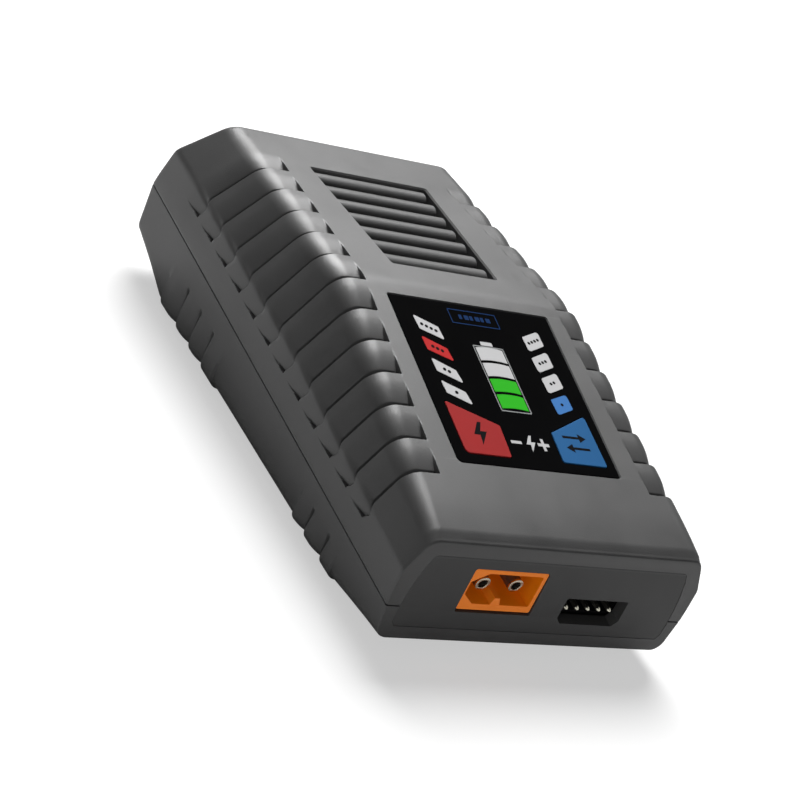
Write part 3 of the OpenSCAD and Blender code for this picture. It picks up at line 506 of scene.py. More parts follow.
def top_half(y):
    """The upper shell's +x side at y, from the seam to the middle: x, z, shift along y."""
    crown, edge_x, crease = float(top_z(y)), float(top_edge_x(y)), float(crease_z(y))
    radius = float(top_radius(y))
    side = unit([CREASE_X - edge_x, crease - crown])
    centre = corner_centre(edge_x, crown, side, radius)
    lean = math.atan2(side[0], -side[1])
    # the ribs run from rib_z on the side wall to rib_x on the top
    d = (y - 60) / 50
    rib_z = 11.35 + 0.55 * d
    rib_x = 21.86 - 2.444 * d - 0.369 * d * d
    crease_r = 2.4
    crease_c = (CREASE_X - crease_r, crease - crease_r * math.tan(lean / 2))
    path = [(CREASE_X, rib_z)]
    path += arc(crease_c, crease_r, np.linspace(0, lean, 9))
    path += arc(centre, radius, np.linspace(lean, math.pi / 2, 19))
    path += [(rib_x, crown)]
    path = np.array(path)
    total = path_length(path)
    s = np.r_[0, 0.04, 0.09, 0.15, 0.22, 0.3, 0.38, 0.46, 0.55,
              np.linspace(0.75, total - 0.75, 70),
              total - np.array([0.55, 0.42, 0.3, 0.2, 0.13, 0.06, 0])]
    points, normal = resample(path, s)
    foot = crease - rib_z
    to_end = total - s
    share = (smooth(s / 0.15) * smooth(to_end / 0.2)
             * (0.58 + 0.42 * smooth((s - foot + 0.9) / 2.0)))
    # the grooves curve forward near their foot
    bend = 0.95 * (1 - smooth((s - foot + 1.0) / 2.2)) * smooth((s - 0.2) / (foot - 1.2))
    groove = deepest(wave, y, VALLEYS, DEPTH, RAMP)
    line = deepest(slot_depth, y, VALLEYS, 0.5, 0.62, 0.9)
    line_share = smooth((s - foot + 0.8) / 1.4) * smooth(to_end / 0.2)
    # a slit across either end of each groove
    slit = (0.6 * smooth(s / 0.1) * (1 - smooth((s - 0.2) / 0.22))
            + 0.6 * smooth(to_end / 0.1) * (1 - smooth((to_end - 0.3) / 0.25)))
    slit_depth = 0.35 * groove / DEPTH * smooth((groove / DEPTH - 0.2) / 0.25)
    ribs = points - normal * (groove * share + line * line_share + slit_depth * slit)[:, None]
    wall = np.array([
        (32.72, SEAM), (32.9, SEAM + 0.05), (33.0, SEAM + 0.16), (33.06, SEAM + 0.4),
        (33.12, 7.4), (33.18, 8.6), (CREASE_X, 9.6), (CREASE_X, rib_z - 0.25)])
    flat = np.array([(rib_x - 0.3, crown), (rib_x * 0.75, crown), (rib_x * 0.5, crown),
                     (rib_x * 0.25, crown), (0, crown)])
    shift = -bend * float(smooth((y - 7) / 6) * smooth((99 - y) / 5))
    return np.concatenate([np.c_[wall, np.zeros(len(wall))], np.c_[ribs, shift],
                           np.c_[flat, np.zeros(len(flat))]])


def low_half(y):
    """The lower shell's +x side at y, from the seam to the middle: x, z, shift along y."""
    def wall_x(z):
        return LOW_X - LOW_LEAN * (SEAM - z)

    floor_z, radius = float(bottom_z(y)), float(bottom_radius(y))
    side = unit([LOW_LEAN, 1.0])
    centre = corner_centre(wall_x(floor_z), floor_z, side * [1, 1], radius)
    pad_z = float(table(y, [[0, 2.6], [10, 1.2], [17, 0.5], [31, 0.2], [68, -0.8],
                            [92, -1.2], [104, -0.6], [109, 0.8]])) + 2.2
    bend = np.linspace(math.radians(-9.65), math.radians(-90), 15)
    path = np.array([(wall_x(pad_z), pad_z), *arc(centre, radius, bend), (26.15, floor_z)])
    total = path_length(path)
    s = np.r_[0, 0.08, 0.16, 0.25, np.linspace(0.5, total - 0.5, 30),
              total - np.array([0.25, 0.16, 0.08, 0])]
    points, normal = resample(path, s)
    end = smooth((total - s) / 0.25)
    raised = float(pad(y))
    groove = line = 0.0
    if raised > 0:
        groove = deepest(wave, y, LOW_VALLEYS, LOW_DEPTH, LOW_RAMP)
        line = deepest(slot_depth, y, LOW_VALLEYS, 0.55, 0.55, 0.85)
    sunk = (groove * smooth(s / 4.0) + line * smooth((s - 0.3) / 1.4)) * end
    # the normals point inward here
    band = points - normal * (raised * smooth(s / 5.5) - sunk)[:, None]
    middle_z = 0.5 * (pad_z + 5.6)
    wall = np.array([
        (32.72, SEAM), (32.9, SEAM - 0.05), (32.98, SEAM - 0.16), (LOW_X - 0.07, SEAM - 0.45),
        (wall_x(middle_z), middle_z), (wall_x(pad_z + 0.3), pad_z + 0.3)])
    flat = np.array([
        (25.0, floor_z - raised), (20, floor_z - raised), (14.35, floor_z - raised),
        (14.2, floor_z - 0.5 * raised), (14.05, floor_z), (8, floor_z), (0, floor_z)])
    points = np.concatenate([wall, band, flat])
    return np.c_[points, np.zeros(len(points))]


def cavity_top_half(y):
    crown, edge_x = float(top_z(y)) - 2.3, float(top_edge_x(y)) - 1.9
    crease, radius = float(crease_z(y)) - 0.5, 2.5
    side = unit([WALL_X_TOP - edge_x, crease - crown])
    centre = corner_centre(edge_x, crown, side, radius)
    lean = math.atan2(side[0], -side[1])
    return np.array([(WALL_X_TOP, SEAM - 0.5), (WALL_X_TOP, crease),
                     *arc(centre, radius, np.linspace(lean, math.pi / 2, 6)), (0, crown)])


def cavity_low_half(y):
    floor_z, radius = float(bottom_z(y)) + 2.2, 2.0
    edge_x = WALL_X_LOW - LOW_LEAN * (SEAM - floor_z)
    centre = corner_centre(edge_x, floor_z, unit([LOW_LEAN, 1.0]), radius)
    bend = np.linspace(math.radians(-9.65), -math.pi / 2, 6)
    return np.array([(WALL_X_LOW, SEAM + 0.5), *arc(centre, radius, bend), (0, floor_z)])


def stations(valleys, ramp):
    """Places along y for the shell's rings, close together at each valley."""
    out = []
    for v in valleys:
        out += [v + d for d in (-0.34, -STEP, -0.26, -0.19, -0.12, -0.06, 0, 0.3, 0.5, 0.62,
                                0.7, 0.78, 0.84, 0.9, 1.05)]
        out += list(v + 1.3 + (ramp - 1.3) * np.linspace(0, 1, 10))
    out += list(np.arange(4.2, 102.5, 0.9))
    out += [16.6, 17, 31.6, 32, 67.6, 68, 92, 92.4, 15.6, 16.4, 93.6, 94.4]
    out = sorted(out)
    keep = [out[0]]
    for y in out[1:]:
        if y - keep[-1] > 0.045:
            keep.append(y)
    return [y for y in keep if 4.1 < y < 102.6]


def both_sides(half, low):
    """Half a section and its mirror image as one ring."""
    other = half.copy()
    other[:, 0] *= -1
    return np.concatenate([other, half[-2::-1]] if low else [half, other[-2::-1]])


def front_y(z, depth):
    return FRONT_LEAN * z + depth


def back_y(z, end):
    return end - BACK_LEAN * np.maximum(z - SEAM, 0)


def end_section(half, y, low, inset):
    """The section's x and z at y, its outside moved in by inset and its seam plane kept."""
    section = both_sides(half(y), low)[:, :2]
    if inset:
        tangent = np.roll(section, -1, 0) - np.roll(section, 1, 0)
        length = np.linalg.norm(tangent, axis=1)
        length[length == 0] = 1
        move = -inset * np.c_[tangent[:, 1], -tangent[:, 0]] / length[:, None]
        move[np.abs(section[:, 1] - SEAM) < 1e-6] = 0
        section = section + move
    return section[:, 0], section[:, 1]


def shell_outer(name, half, low):
    """A shell's solid outside, with leaning end faces and rounded rims."""
    first_y, last_y = (0.4, 108.2) if low else (1.4, 106.6)
    # depth from the end face, inset
    ends = [(0.0, END_ROUND), (END_ROUND * 0.3, END_ROUND * 0.28), (END_ROUND, 0.0), (0.8, 0.0)]
    rings = []
    for depth, inset in ends:
        x, z = end_section(half, first_y + depth, low, inset)
        rings.append(np.c_[x, front_y(z, FRONT_END + depth), z])
    for y in stations(*((LOW_VALLEYS, LOW_RAMP) if low else (VALLEYS, RAMP))):
        x, z, shift = both_sides(half(y), low).T
        rings.append(np.c_[x, y + shift, z])
    for depth, inset in reversed(ends):
        x, z = end_section(half, last_y - depth, low, inset)
        rings.append(np.c_[x, back_y(z, BACK_END) - depth, z])
    return loft(rings, name=name)


def cavity(half, ys, low):
    rings = []
    for y in [4.2, *ys, 104.5]:
        x, z = both_sides(half(y), low).T
        place = front_y(z, 2.4) if y == 4.2 else back_y(z, 106.4) if y == 104.5 else \
            np.full(len(z), y)
        rings.append(np.c_[x, place, z])
    return loft(rings)


# ------------------------------------------------------------------ openings
# screw posts as x, y in the seam frame; the fan's are in the vent frame
CASE_POSTS = [(-25.6, 13.5), (25.6, 13.5), (-25.6, 101), (25.6, 101)]
SEAT_Z = [0.5, 0.5, -3.5, -3.5]  # where the case screws' counterbores end
BOARD_POSTS = [(-22, 33), (22, 33), (-13, 63.5), (24, 90)]
KEY_BOARD_POSTS = on_panel([(0.3, 24), (-6.4, 46.5), (6.7, 46.5)])
FAN_POSTS = [(-17.3, -9), (17.3, -9), (-17.3, 9), (17.3, 9)]

# front plate's +x edge from the top down: x, z
PLATE_EDGE = [(27.6, 16.3), (28.2, 16.1), (28.9, 14.5), (29.6, 11.5), (30.0, 8.5),
              (30.1, 6.0), (30.0, 3.0), (29.4, 2.2)]

# keys, lamp tiles and gauge cells on the panel: x, y in the seam frame
KEY_CURRENT = on_panel([(-15.79, 31.87), (-5.34, 27.67), (-5.73, 20.85), (-15.82, 20.93)])
KEY_MODE = on_panel([(6.32, 27.43), (16.21, 32.05), (16.37, 20.9), (6.07, 21.02)])
CURRENT_TILES = [on_panel(tile) for tile in (
    [(-14.47, 50.67), (-9.79, 48.58), (-9.52, 45.85), (-14.17, 47.7)],
    [(-14.55, 45.92), (-9.89, 43.82), (-9.49, 41.13), (-14.4, 43.08)],
    [(-14.46, 41.13), (-10.05, 39.0), (-9.52, 36.36), (-14.38, 38.43)],
    [(-14.49, 36.3), (-9.99, 34.26), (-9.49, 31.68), (-14.26, 33.73)])]
TYPE_TILES = [on_panel(tile) for tile in (
    [(9.93, 49.1), (14.38, 50.96), (14.42, 47.69), (10.13, 45.87)],
    [(9.91, 44.35), (14.32, 46.25), (14.4, 42.89), (10.13, 41.12)],
    [(10.02, 39.75), (14.27, 41.5), (14.48, 38.2), (10.24, 36.48)],
    [(9.97, 35.06), (14.23, 36.65), (14.41, 33.42), (10.2, 31.75)])]
# near and far y of each gauge cell
GAUGE_CELLS = [(42.2, 45.1), (38.7, 41.6), (35.3, 38.1), (31.7, 34.7)]

# the vent opening's ends: y, half width
VENT_FRONT_Y, VENT_FRONT_X = 64.5, 12.15
VENT_BACK_Y, VENT_BACK_X = 95, 13.6
VENT_LOOP = round_corners([
    (-VENT_BACK_X, vent_v(VENT_BACK_Y)), (VENT_BACK_X, vent_v(VENT_BACK_Y)),
    (VENT_FRONT_X, vent_v(VENT_FRONT_Y)), (-VENT_FRONT_X, vent_v(VENT_FRONT_Y))], 0.35, 4)
PANEL_LOOP = box(-18.45, 18.45, panel_v(18.8), panel_v(54.85), [0.9, 0.4, 0.4, 0.4], 6)
PLATE_GAP, INLET_GAP = 0.09, 0.12
SOCKET_Z = 9.6  # middle of the mains inlet


def plate_outline(distance):
    """The front plate's outline in x and z, grown by distance."""
    points = PLATE_EDGE + [(-x, z) for x, z in reversed(PLATE_EDGE)]
    # the upper corners close the ring in this order
    n, out = len(points), []
    for i in range(n):
        along = (Vector(points[(i + 1) % n]) - Vector(points[i - 1])).normalized()
        normal = outward(along, Vector(points[i]) - Vector((0, 9)))
        p = Vector(points[i]) + normal * distance
        out.append((p.x, p.y))
    return round_corners(out, 0.5)


def stadium(gap):
    """The mains inlet's outline in x and z: two half circles and the straights between."""
    radius, quarter = 5.3 + gap, math.pi / 2
    return (arc((5.2, SOCKET_Z), radius, np.linspace(-quarter, quarter, 14))
            + arc((-5.2, SOCKET_Z), radius, np.linspace(quarter, 3 * math.pi / 2, 14)))


def chamfer(outline, size, matrix):
    """A cutter for a small chamfer round an opening's rim."""
    wide = grow(outline, size)
    levels = ((outline, -size), (wide, 0.02), (wide, 1.5))
    return loft([np.array([(x, y, z) for x, y in loop]) for loop, z in levels], matrix)


def socket_cutters():
    """The front plate's recess and the mains inlet's hole."""
    return [upright_slab([plate_outline(PLATE_GAP)], -2, 5.2),
            upright_slab([stadium(INLET_GAP)], 103, 112)]


def seam_cutters():
    """The parting line where it crosses the front and back faces."""
    return [upright_slab([box(-34, 34, 5.97, 6.23)], -3, 1.45),
            upright_slab([box(-34, 34, 6.0, 6.2)], 108.5, 112)]


# ------------------------------------------------------------------ shells
def upper_shell():
    shell = shell_outer("upper_case", top_half, False)
    hollow = cavity(cavity_top_half, [9, 12, 16, 23, 36, 44, 50, 57.2, 58.7, 64, 78, 92, 98], False)
    cut(hollow, *cylinders(CASE_POSTS, 6.3, 36, 3),
        *cylinders(KEY_BOARD_POSTS, -7, 3, 1.9, PANEL),
        *cylinders(FAN_POSTS, -10.5, 3, 2.2, VENT))
    cut(shell, hollow)
    # screw bores
    cutters = cylinders(CASE_POSTS, 0, 17, 1.12)
    cutters += cylinders(KEY_BOARD_POSTS, -9, -3.4, 0.82, PANEL)
    cutters += cylinders(FAN_POSTS, -12, -5, 0.92, VENT)
    cutters += socket_cutters()
    # the panel's recess and the openings in it
    cutters.append(slab([PANEL_LOOP], -0.5, 2, PANEL))
    cutters.append(chamfer(PANEL_LOOP, 0.22, PANEL))
    openings = [grow(key, 0.2) for key in (KEY_CURRENT, KEY_MODE)]
    openings += [grow(tile, -0.3) for tile in CURRENT_TILES + TYPE_TILES]
    openings += [box(-2.5, 3.0, panel_v(y0) + 0.3, panel_v(y1) - 0.3) for y0, y1 in GAUGE_CELLS]
    cutters += [slab([loop], -4, 1, PANEL) for loop in openings]
    cutters.append(slab([VENT_LOOP], -4, 2, VENT))
    cutters.append(chamfer(VENT_LOOP, 0.3, VENT))
    cut(shell, *cutters, *seam_cutters())
    piece(shell, "case_plastic", "upper_shell", crease=38)


def lower_shell():
    shell = shell_outer("lower_case", low_half, True)
    hollow = cavity(cavity_low_half, [8, 16, 40, 70, 94, 100], True)
    cut(hollow, *cylinders(CASE_POSTS, -12, 6.15, 3.2), *cylinders(BOARD_POSTS, -12, 2.4, 2.4))
    cut(shell, hollow)
    # tongues that reach up past the seam inside the side walls
    for s in (-1, 1):
        x0, x1 = sorted((s * 29.3, s * 30.6))
        tongue = slab([box(x0, x1, 22, 92, 0.3, 5)], 3.6, 7.5, SEAM_FRAME, 0.15, 1)
        cut(shell, tongue, operation="UNION")
    cutters = []
    for (x, y), seat in zip(CASE_POSTS, SEAT_Z):
        cutters += [cylinder(x, y, -12, 8, 1.5), cylinder(x, y, -14, seat, 2.7)]
    cutters += cylinders(BOARD_POSTS, -4, 6, 0.82)
    cutters += socket_cutters()
    # a shallow recess and six slots in the underside
    cutters.append(slab([box(-18, 18, -13, 13, 1.5, 5)], -2, 0.3, UNDERSIDE))
    for i in range(6):
        y = 22 + 3.4 * i
        cutters.append(slab([box(-11, 11, y, y + 1.6, 0.75, 6)], -2, 6, UNDERSIDE))
    cut(shell, *cutters, *seam_cutters())
    # the lower shell takes the lighter copy of the case plastic: painted light
    piece(shell, "case_plastic_low_painted_light", "lower_shell", crease=38)


upper_shell()
lower_shell()

# ------------------------------------------------------------------ front plate
SHEAR = Matrix(((1, 0, 0, 0), (0, 1, FRONT_LEAN, 0), (0, 0, 1, 0), (0, 0, 0, 1)))


def sheared(o):
    """Leans a piece built square to y so that its faces follow the front's tilt."""
    o.data.transform(SEAM_FRAME @ SHEAR @ SEAM_FRAME.inverted())
    return o


def front_plate():
    output_hole = round_corners([(-18.55, 14.3), (-2.36, 14.3), (-2.05, 5.62), (-18.5, 5.62)],
                                [0.5, 0.5, 0.35, 0.35], 4)
    balance_hole = round_corners([(4.35, 9.6), (18.5, 9.6), (18.5, 5.5), (17.4, 4.4),
                                  (5.45, 4.4), (4.35, 5.5)], 0.3, 3)
    face = upright_slab([plate_outline(0.03), output_hole, balance_hole], 0.03, 2.45, 0.05)
    flange = upright_slab([plate_outline(0.8), grow(output_hole, 0.1),
                           box(3.4, 19.4, 3.7, 10.4)], 2.5, 3.5, 0.08, 1)
    plate = join("output_plate", [sheared(face), sheared(flange)])
    # the plate takes the lighter plastic: painted light on the front face
    piece(plate, "plate_plastic_painted_light", "front_plate", crease=24)


front_plate()

# ------------------------------------------------------------------ vent slats
SLAT_PITCH, SLAT_HALF, SLAT_AXIS_Z = 4.35, 1.6, -1.55


def vent_slats():
    """Seven bars with half-round tops, a rib under each and a rail beneath either end."""
    section = [(-SLAT_HALF, -2.6), (SLAT_HALF, -2.6)]
    section += [(SLAT_HALF * math.cos(t), SLAT_AXIS_Z + 1.28 * math.sin(t))
                for t in np.linspace(0, math.pi, 22)]
    section, axis = np.array(section), np.array([0, SLAT_AXIS_Z])
    parts = []
    for i in range(7):
        y = 93.3 - SLAT_PITCH * i
        half = float(np.interp(y, [VENT_FRONT_Y, VENT_BACK_Y], [VENT_FRONT_X, VENT_BACK_X]))
        x0, x1 = -half + 0.06, half - 0.85
        rings = []
        # rounded ends: x, scale of the section
        for x, scale in ((x0, 0.92), (x0 + 0.12, 0.98), (x0 + 0.35, 1.0), (x1 - 0.28, 1.0),
                         (x1 - 0.1, 0.97), (x1 - 0.03, 0.92), (x1, 0.86)):
            q = (section - axis) * scale + axis
            rings.append(np.c_[np.full(len(q), x), q[:, 0] + vent_v(y), q[:, 1]])
        parts.append(loft(rings, VENT))
        rib = box(x0, half - 0.1, vent_v(y) - 0.55, vent_v(y) + 0.55)
        parts.append(slab([rib], -3.0, -2.2, VENT, 0.1, 1))
    for s in (-1, 1):
        x0, x1 = sorted((s * 11.2, s * 14.9))
        rail = box(x0, x1, vent_v(65.2), vent_v(94.6), 0.6, 5)
        parts.append(slab([rail], -3.2, -2.4, VENT, 0.1, 1))
    piece(join("vent_slats", parts), "slat_plastic", "vent_grille")


vent_slats()

# ------------------------------------------------------------------ panel
SHEET_BACK, SHEET_TOP = -0.5, -0.1
TILE_TOP, CELL_TOP, PRINT_TOP = -0.06, -0.07, -0.07
FIT = 0.03  # play round the tiles and gauge cells
KEY_TOP = 0.02
SIGN_V = panel_v(24.45)
# key name: outline, corner radii, material, middle x
KEYS = {
    "current": (KEY_CURRENT, [0.35, 0.5, 0.5, 1.1], "key_red", -10.7),
    "mode": (KEY_MODE, [0.5, 0.5, 0.5, 0.5], "key_blue", 11.2),
}


def tile_loop(points, gap=0.0):
    left = points[0][0] < 0
    return round_corners(grow(points, gap + (0.06 if left else 0.03)), 0.24 if left else 0.5)


def cell_loop(cell, gap=0.0):
    """A gauge cell with slightly bowed long sides."""
    v0, v1 = panel_v(cell[0]) - gap, panel_v(cell[1]) + gap
    x0, x1 = -2.8 - gap, 3.3 + gap
    xs = np.linspace(x0, x1, 13)
    bow = 0.28 * (1 - ((xs - (x0 + x1) / 2) / ((x1 - x0) / 2)) ** 2)
    return ([(x, v0 + b) for x, b in zip(xs, bow)]
            + [(x, v1 + b) for x, b in zip(xs[::-1], bow[::-1])])


def printed(*loops, name="print"):
    return slab(loops, SHEET_TOP, PRINT_TOP, PANEL, name=name)


def bolt(x, y, size):
    """A lightning sign."""
    points = [(0.1, 1.0), (-0.62, -0.12), (-0.08, -0.12), (-0.2, -1.0), (0.62, 0.2),
              (0.06, 0.2), (0.42, 1.0)]
    return [(x + px * size, y + py * size) for px, py in points]


def panel_sheet():
    loops = [box(-18.3, 18.3, panel_v(18.95), panel_v(54.7), [0.8, 0.35, 0.35, 0.35], 6)]
    for outline, radii, _, _ in KEYS.values():
        loops.append(round_corners(grow(outline, 0.14), [r + 0.1 for r in radii], 8))
    loops += [tile_loop(tile, FIT) for tile in CURRENT_TILES + TYPE_TILES]
    loops += [cell_loop(cell, FIT) for cell in GAUGE_CELLS]
    sheet = slab(loops, SHEET_BACK, SHEET_TOP, PANEL, name="panel_sheet")
    piece(sheet, "film_black", "panel_film", crease=20)


def lamps():
    # name, tiles, which of them, material, slot
    for name, tiles, chosen, look, slot in (
            ("current_tiles", CURRENT_TILES, (0, 2, 3), "print_white", "current_lamps"),
            ("current_tile_lit", CURRENT_TILES, (1,), "lit_red", "current_lamp_lit"),
            ("type_tiles", TYPE_TILES, (0, 1, 2), "print_white", "type_lamps"),
            ("type_tile_lit", TYPE_TILES, (3,), "lit_blue", "type_lamp_lit")):
        parts = [slab([tile_loop(tiles[i])], SHEET_BACK, TILE_TOP, PANEL) for i in chosen]
        piece(join(name, parts), look, slot, crease=20)


def gauge():
    for state, chosen, look in (("off", (0, 1), "print_white"), ("on", (2, 3), "lit_green")):
        cells = [slab([cell_loop(GAUGE_CELLS[i])], SHEET_BACK, CELL_TOP, PANEL) for i in chosen]
        piece(join("gauge_cells_" + state, cells), look, "gauge_segments_" + state)
    cap = printed(box(-1.2, 1.5, panel_v(45.75), panel_v(46.6), 0.15), name="gauge_cap")
    piece(cap, "print_white", "gauge_frame", replaces=False)
    ring = printed(box(-3.3, 3.75, panel_v(31.1), panel_v(45.6), 0.3),
                   box(-3.06, 3.51, panel_v(31.34), panel_v(45.36), 0.2))
    piece(join("gauge_outline", [ring]), "print_line", "gauge_frame")


def badge():
    """A framed row of six small blocks near the panel's back edge."""
    v0, v1 = panel_v(50.2), panel_v(53.5)
    border = printed(box(-5.7, 5.4, v0, v1, 0.2), box(-5.5, 5.2, v0 + 0.2, v1 - 0.2, 0.1))
    row = [printed(box(-3.6 + 1.25 * i, -2.9 + 1.25 * i + (0.3 if i % 2 else 0),
                       panel_v(51.35), panel_v(52.35), 0.12)) for i in range(6)]
    piece(join("badge_outline", [border] + row), "print_badge", "badge_frame")


def panel_signs():
    """A minus, a plus and a bolt between the keys."""
    arm, reach = 0.32, 1.3
    plus = [(-arm, reach), (arm, reach), (arm, arm), (reach, arm), (reach, -arm), (arm, -arm),
            (arm, -reach), (-arm, -reach), (-arm, -arm), (-reach, -arm), (-reach, arm),
            (-arm, arm)]
    signs = [printed(box(-4.3, -1.9, panel_v(24.15), panel_v(24.75))),
             printed([(3.1 + x, SIGN_V + y) for x, y in plus]),
             printed(bolt(0.25, SIGN_V, 1.8))]
    piece(join("panel_signs", signs), "print_white", "panel_mark")


def tile_dots():
    """Four dots to one on the tiles of each column, from the back tile to the front one."""
    dots = []
    for tiles, spacing, radius in ((CURRENT_TILES, 0.98, 0.36), (TYPE_TILES, 0.92, 0.33)):
        for i, tile in enumerate(tiles):
            corners = np.array(tile)
            middle = np.mean(corners, axis=0)
            along = (corners[1] - corners[0] + corners[2] - corners[3]) / 2
            along /= np.linalg.norm(along)
            n = 4 - i
            for k in range(n):
                x, y = middle + along * (k - (n - 1) / 2) * spacing
                dots.append(slab([circle(x, y, radius, 18)], TILE_TOP, -0.045, PANEL))
    piece(join("tile_dots", dots), "print_ink", "panel_film", replaces=False)


def key(kind):
    outline, radii, look, x = KEYS[kind]
    cap = slab([round_corners(outline, radii, 8)], -2.9, KEY_TOP, PANEL, 0.14, 3)
    flange = slab([grow(outline, 0.8)], -3.4, -2.85, PANEL, 0.08, 1)
    post = cylinder(x, panel_v(25.2), -4.2, -3.3, 1.6, PANEL)
    button = join(kind + "_button", [cap, flange, post])
    piece(button, look, kind + "_key", kind + "_key", crease=10)


def key_signs():
    """A bolt on the red key and two opposed arrows on the blue one."""
    def sign(loop, name="sign"):
        return slab([loop], KEY_TOP, 0.035, PANEL, name=name)

    lightning = sign(bolt(KEYS["current"][3], panel_v(25.4), 2.5), "current_button_sign")
    piece(lightning, "print_ink", "panel_film", "current_key", replaces=False)
    arrow = [(-2.7, 0.26), (1.1, 0.26), (1.1, 0.95), (2.8, 0.0), (1.1, -0.95), (1.1, -0.26),
             (-2.7, -0.26)]
    cx, cy = KEYS["mode"][3], panel_v(25.6)
    arrows = [sign([(cx + s * x, cy + s * 1.2 + s * y) for x, y in arrow]) for s in (-1, 1)]
    piece(join("mode_button_sign", arrows), "print_ink", "panel_film", "mode_key",
          replaces=False)


panel_sheet()
lamps()
gauge()
badge()
panel_signs()
tile_dots()
key("current")
key("mode")
key_signs()

# ------------------------------------------------------------------ sockets
CONTACTS_X, CONTACT_Z = (-14.05, -6.85), 10.18
BALANCE_X = [11.43 + 2.5 * i for i in range(-2, 3)]
PIN_Z, PIN_HALF = 6.7, 0.34


def output_socket():
    outline = box(-18.45, -2.46, 6.1, 14.2, 0.35)
    mouth = round_corners([(-15.0, 13.4), (-18.1, 11.6), (-18.1, 9.1), (-15.6, 7.3),
                           (-3.2, 7.3), (-3.2, 13.4)], 0.4, 3)
    sleeve = sheared(upright_slab([outline, mouth], 0.14, 12.0, 0.1))
    holes = [circle(x, CONTACT_Z, 1.22) for x in CONTACTS_X]
    back = upright_slab([outline] + holes, 12.3, 13.8, 0.1, 1)
    foot = upright_slab([box(-17, -4, 4.0, 6.1)], 5, 13.8, 0.15, 1)
    rib = sheared(upright_slab([[(-11.7, 7.2), (-9.6, 7.2), (-10.1, 8.6), (-11.2, 8.6)]],
                               0.2, 12.3, 0.06, 1))
    housing = join("output_housing", [sleeve, back, foot, rib])
    piece(housing, "orange_nylon_painted_glow", "output_socket", crease=24)
    # faces behind the front rim take the dimmer copy, painted shade inside the socket; the rim
    # keeps the painted glow
    housing.data.materials.append(MADE["orange_nylon_painted_shade"])
    to_seam = SEAM_FRAME.inverted()
    for face in housing.data.polygons:
        q = to_seam @ face.center
        if q.y - FRONT_LEAN * q.z > 0.3:
            face.material_index = 1


def output_contacts():
    """Hollow round pins that run back along y, each with a leg down, and plated rims."""
    profile = [(0.001, 10.4), (0.88, 10.4), (0.88, 3.34), (1.4, 3.34), (1.4, 12.3),
               (1.2, 12.35), (1.2, 15.9), (0.001, 15.9)]
    pins = []
    for x in CONTACTS_X:
        axis = SEAM_FRAME @ Matrix.Translation((x, 0, CONTACT_Z)) @ tilt(math.radians(-90))
        pins += [lathe(profile, axis), cylinder(x, 15.0, 1.8, 9.9, 0.9)]
    # pin bodies take the darkened metal, painted shade inside the socket; only the rims are plated
    piece(join("output_contacts", pins), "shank_metal_painted_shade", "output_pins")
    rims = [upright_slab([circle(x, CONTACT_Z, 1.42), circle(x, CONTACT_Z, 0.88)],
                         3.0, 3.36, 0.07) for x in CONTACTS_X]
    piece(join("output_contact_rims", rims), "contact_plated", "output_pins", replaces=False)


def balance_socket():
    outline = box(3.6, 19.2, 4.0, 10.1, 0.25)
    sleeve = upright_slab([outline, box(4.35, 18.5, 4.7, 9.6, 0.15)], 3.9, 10.4, 0.08, 1)
    holes = [box(x - 0.35, x + 0.35, 6.35, 7.05) for x in BALANCE_X]
    back = upright_slab([outline] + holes, 10.2, 11.8, 0.05, 1)
    piece(join("balance_housing", [sleeve, back]), "nylon_black", "balance_socket", crease=24)


def balance_pin(x):
    """A square pin with a tapered tip that runs back along y, and its leg down."""
    rings = []
    for y, scale in ((2.05, 0.45), (2.4, 1.0), (13.5, 1.0)):
        h = PIN_HALF * scale
        rings.append(np.array([(px, y, pz) for px, pz in box(x - h, x + h, PIN_Z - h, PIN_Z + h)]))
    leg = box(x - PIN_HALF, x + PIN_HALF, 12.9, 13.5)
    return [loft(rings), slab([leg], 1.2, 6.5, SEAM_FRAME, 0.05, 1)]


def balance_tip(x):
    rings = []
    for y, scale in ((1.99, 0.5), (2.19, 0.85), (2.35, 1.0), (2.49, 1.0)):
        loop = arc((x, PIN_Z), 0.35 * scale, np.arange(12) * math.pi / 6)
        rings.append(np.array([(px, y, pz) for px, pz in loop]))
    return loft(rings)


def balance_contacts():
    pins = join("balance_contacts", sum([balance_pin(x) for x in BALANCE_X], []))
    # pin bodies take the darkened metal, painted shade inside the housing
    piece(pins, "shank_metal_painted_shade", "balance_pins")
    tips = join("balance_contact_tips", [balance_tip(x) for x in BALANCE_X])
    # the tips glow: painted glint
    piece(tips, "tinned_tip_painted_glow", "balance_pins", replaces=False)


def mains_inlet():
    """A stadium-shaped housing with a figure-of-eight mouth."""
    lobe_x, lobe_r, sweep = 4.3, 4.15, 1.05 * math.pi / 2
    eight = [(s * (lobe_x + lobe_r * math.cos(t)), SOCKET_Z + s * lobe_r * math.sin(t))
             for s in (1, -1) for t in np.linspace(-sweep, sweep, 22)]
    sleeve = upright_slab([stadium(0), eight], 96.9, 107.9, 0.12)
    holes = [circle(x, SOCKET_Z, 1.0) for x in (lobe_x, -lobe_x)]
    back = upright_slab([stadium(0)] + holes, 94.8, 97.0, 0.05, 1)
    piece(join("mains_inlet", [sleeve, back]), "moulding_black", "ac_inlet", crease=24)


output_socket()
output_contacts()
balance_socket()
balance_contacts()
mains_inlet()

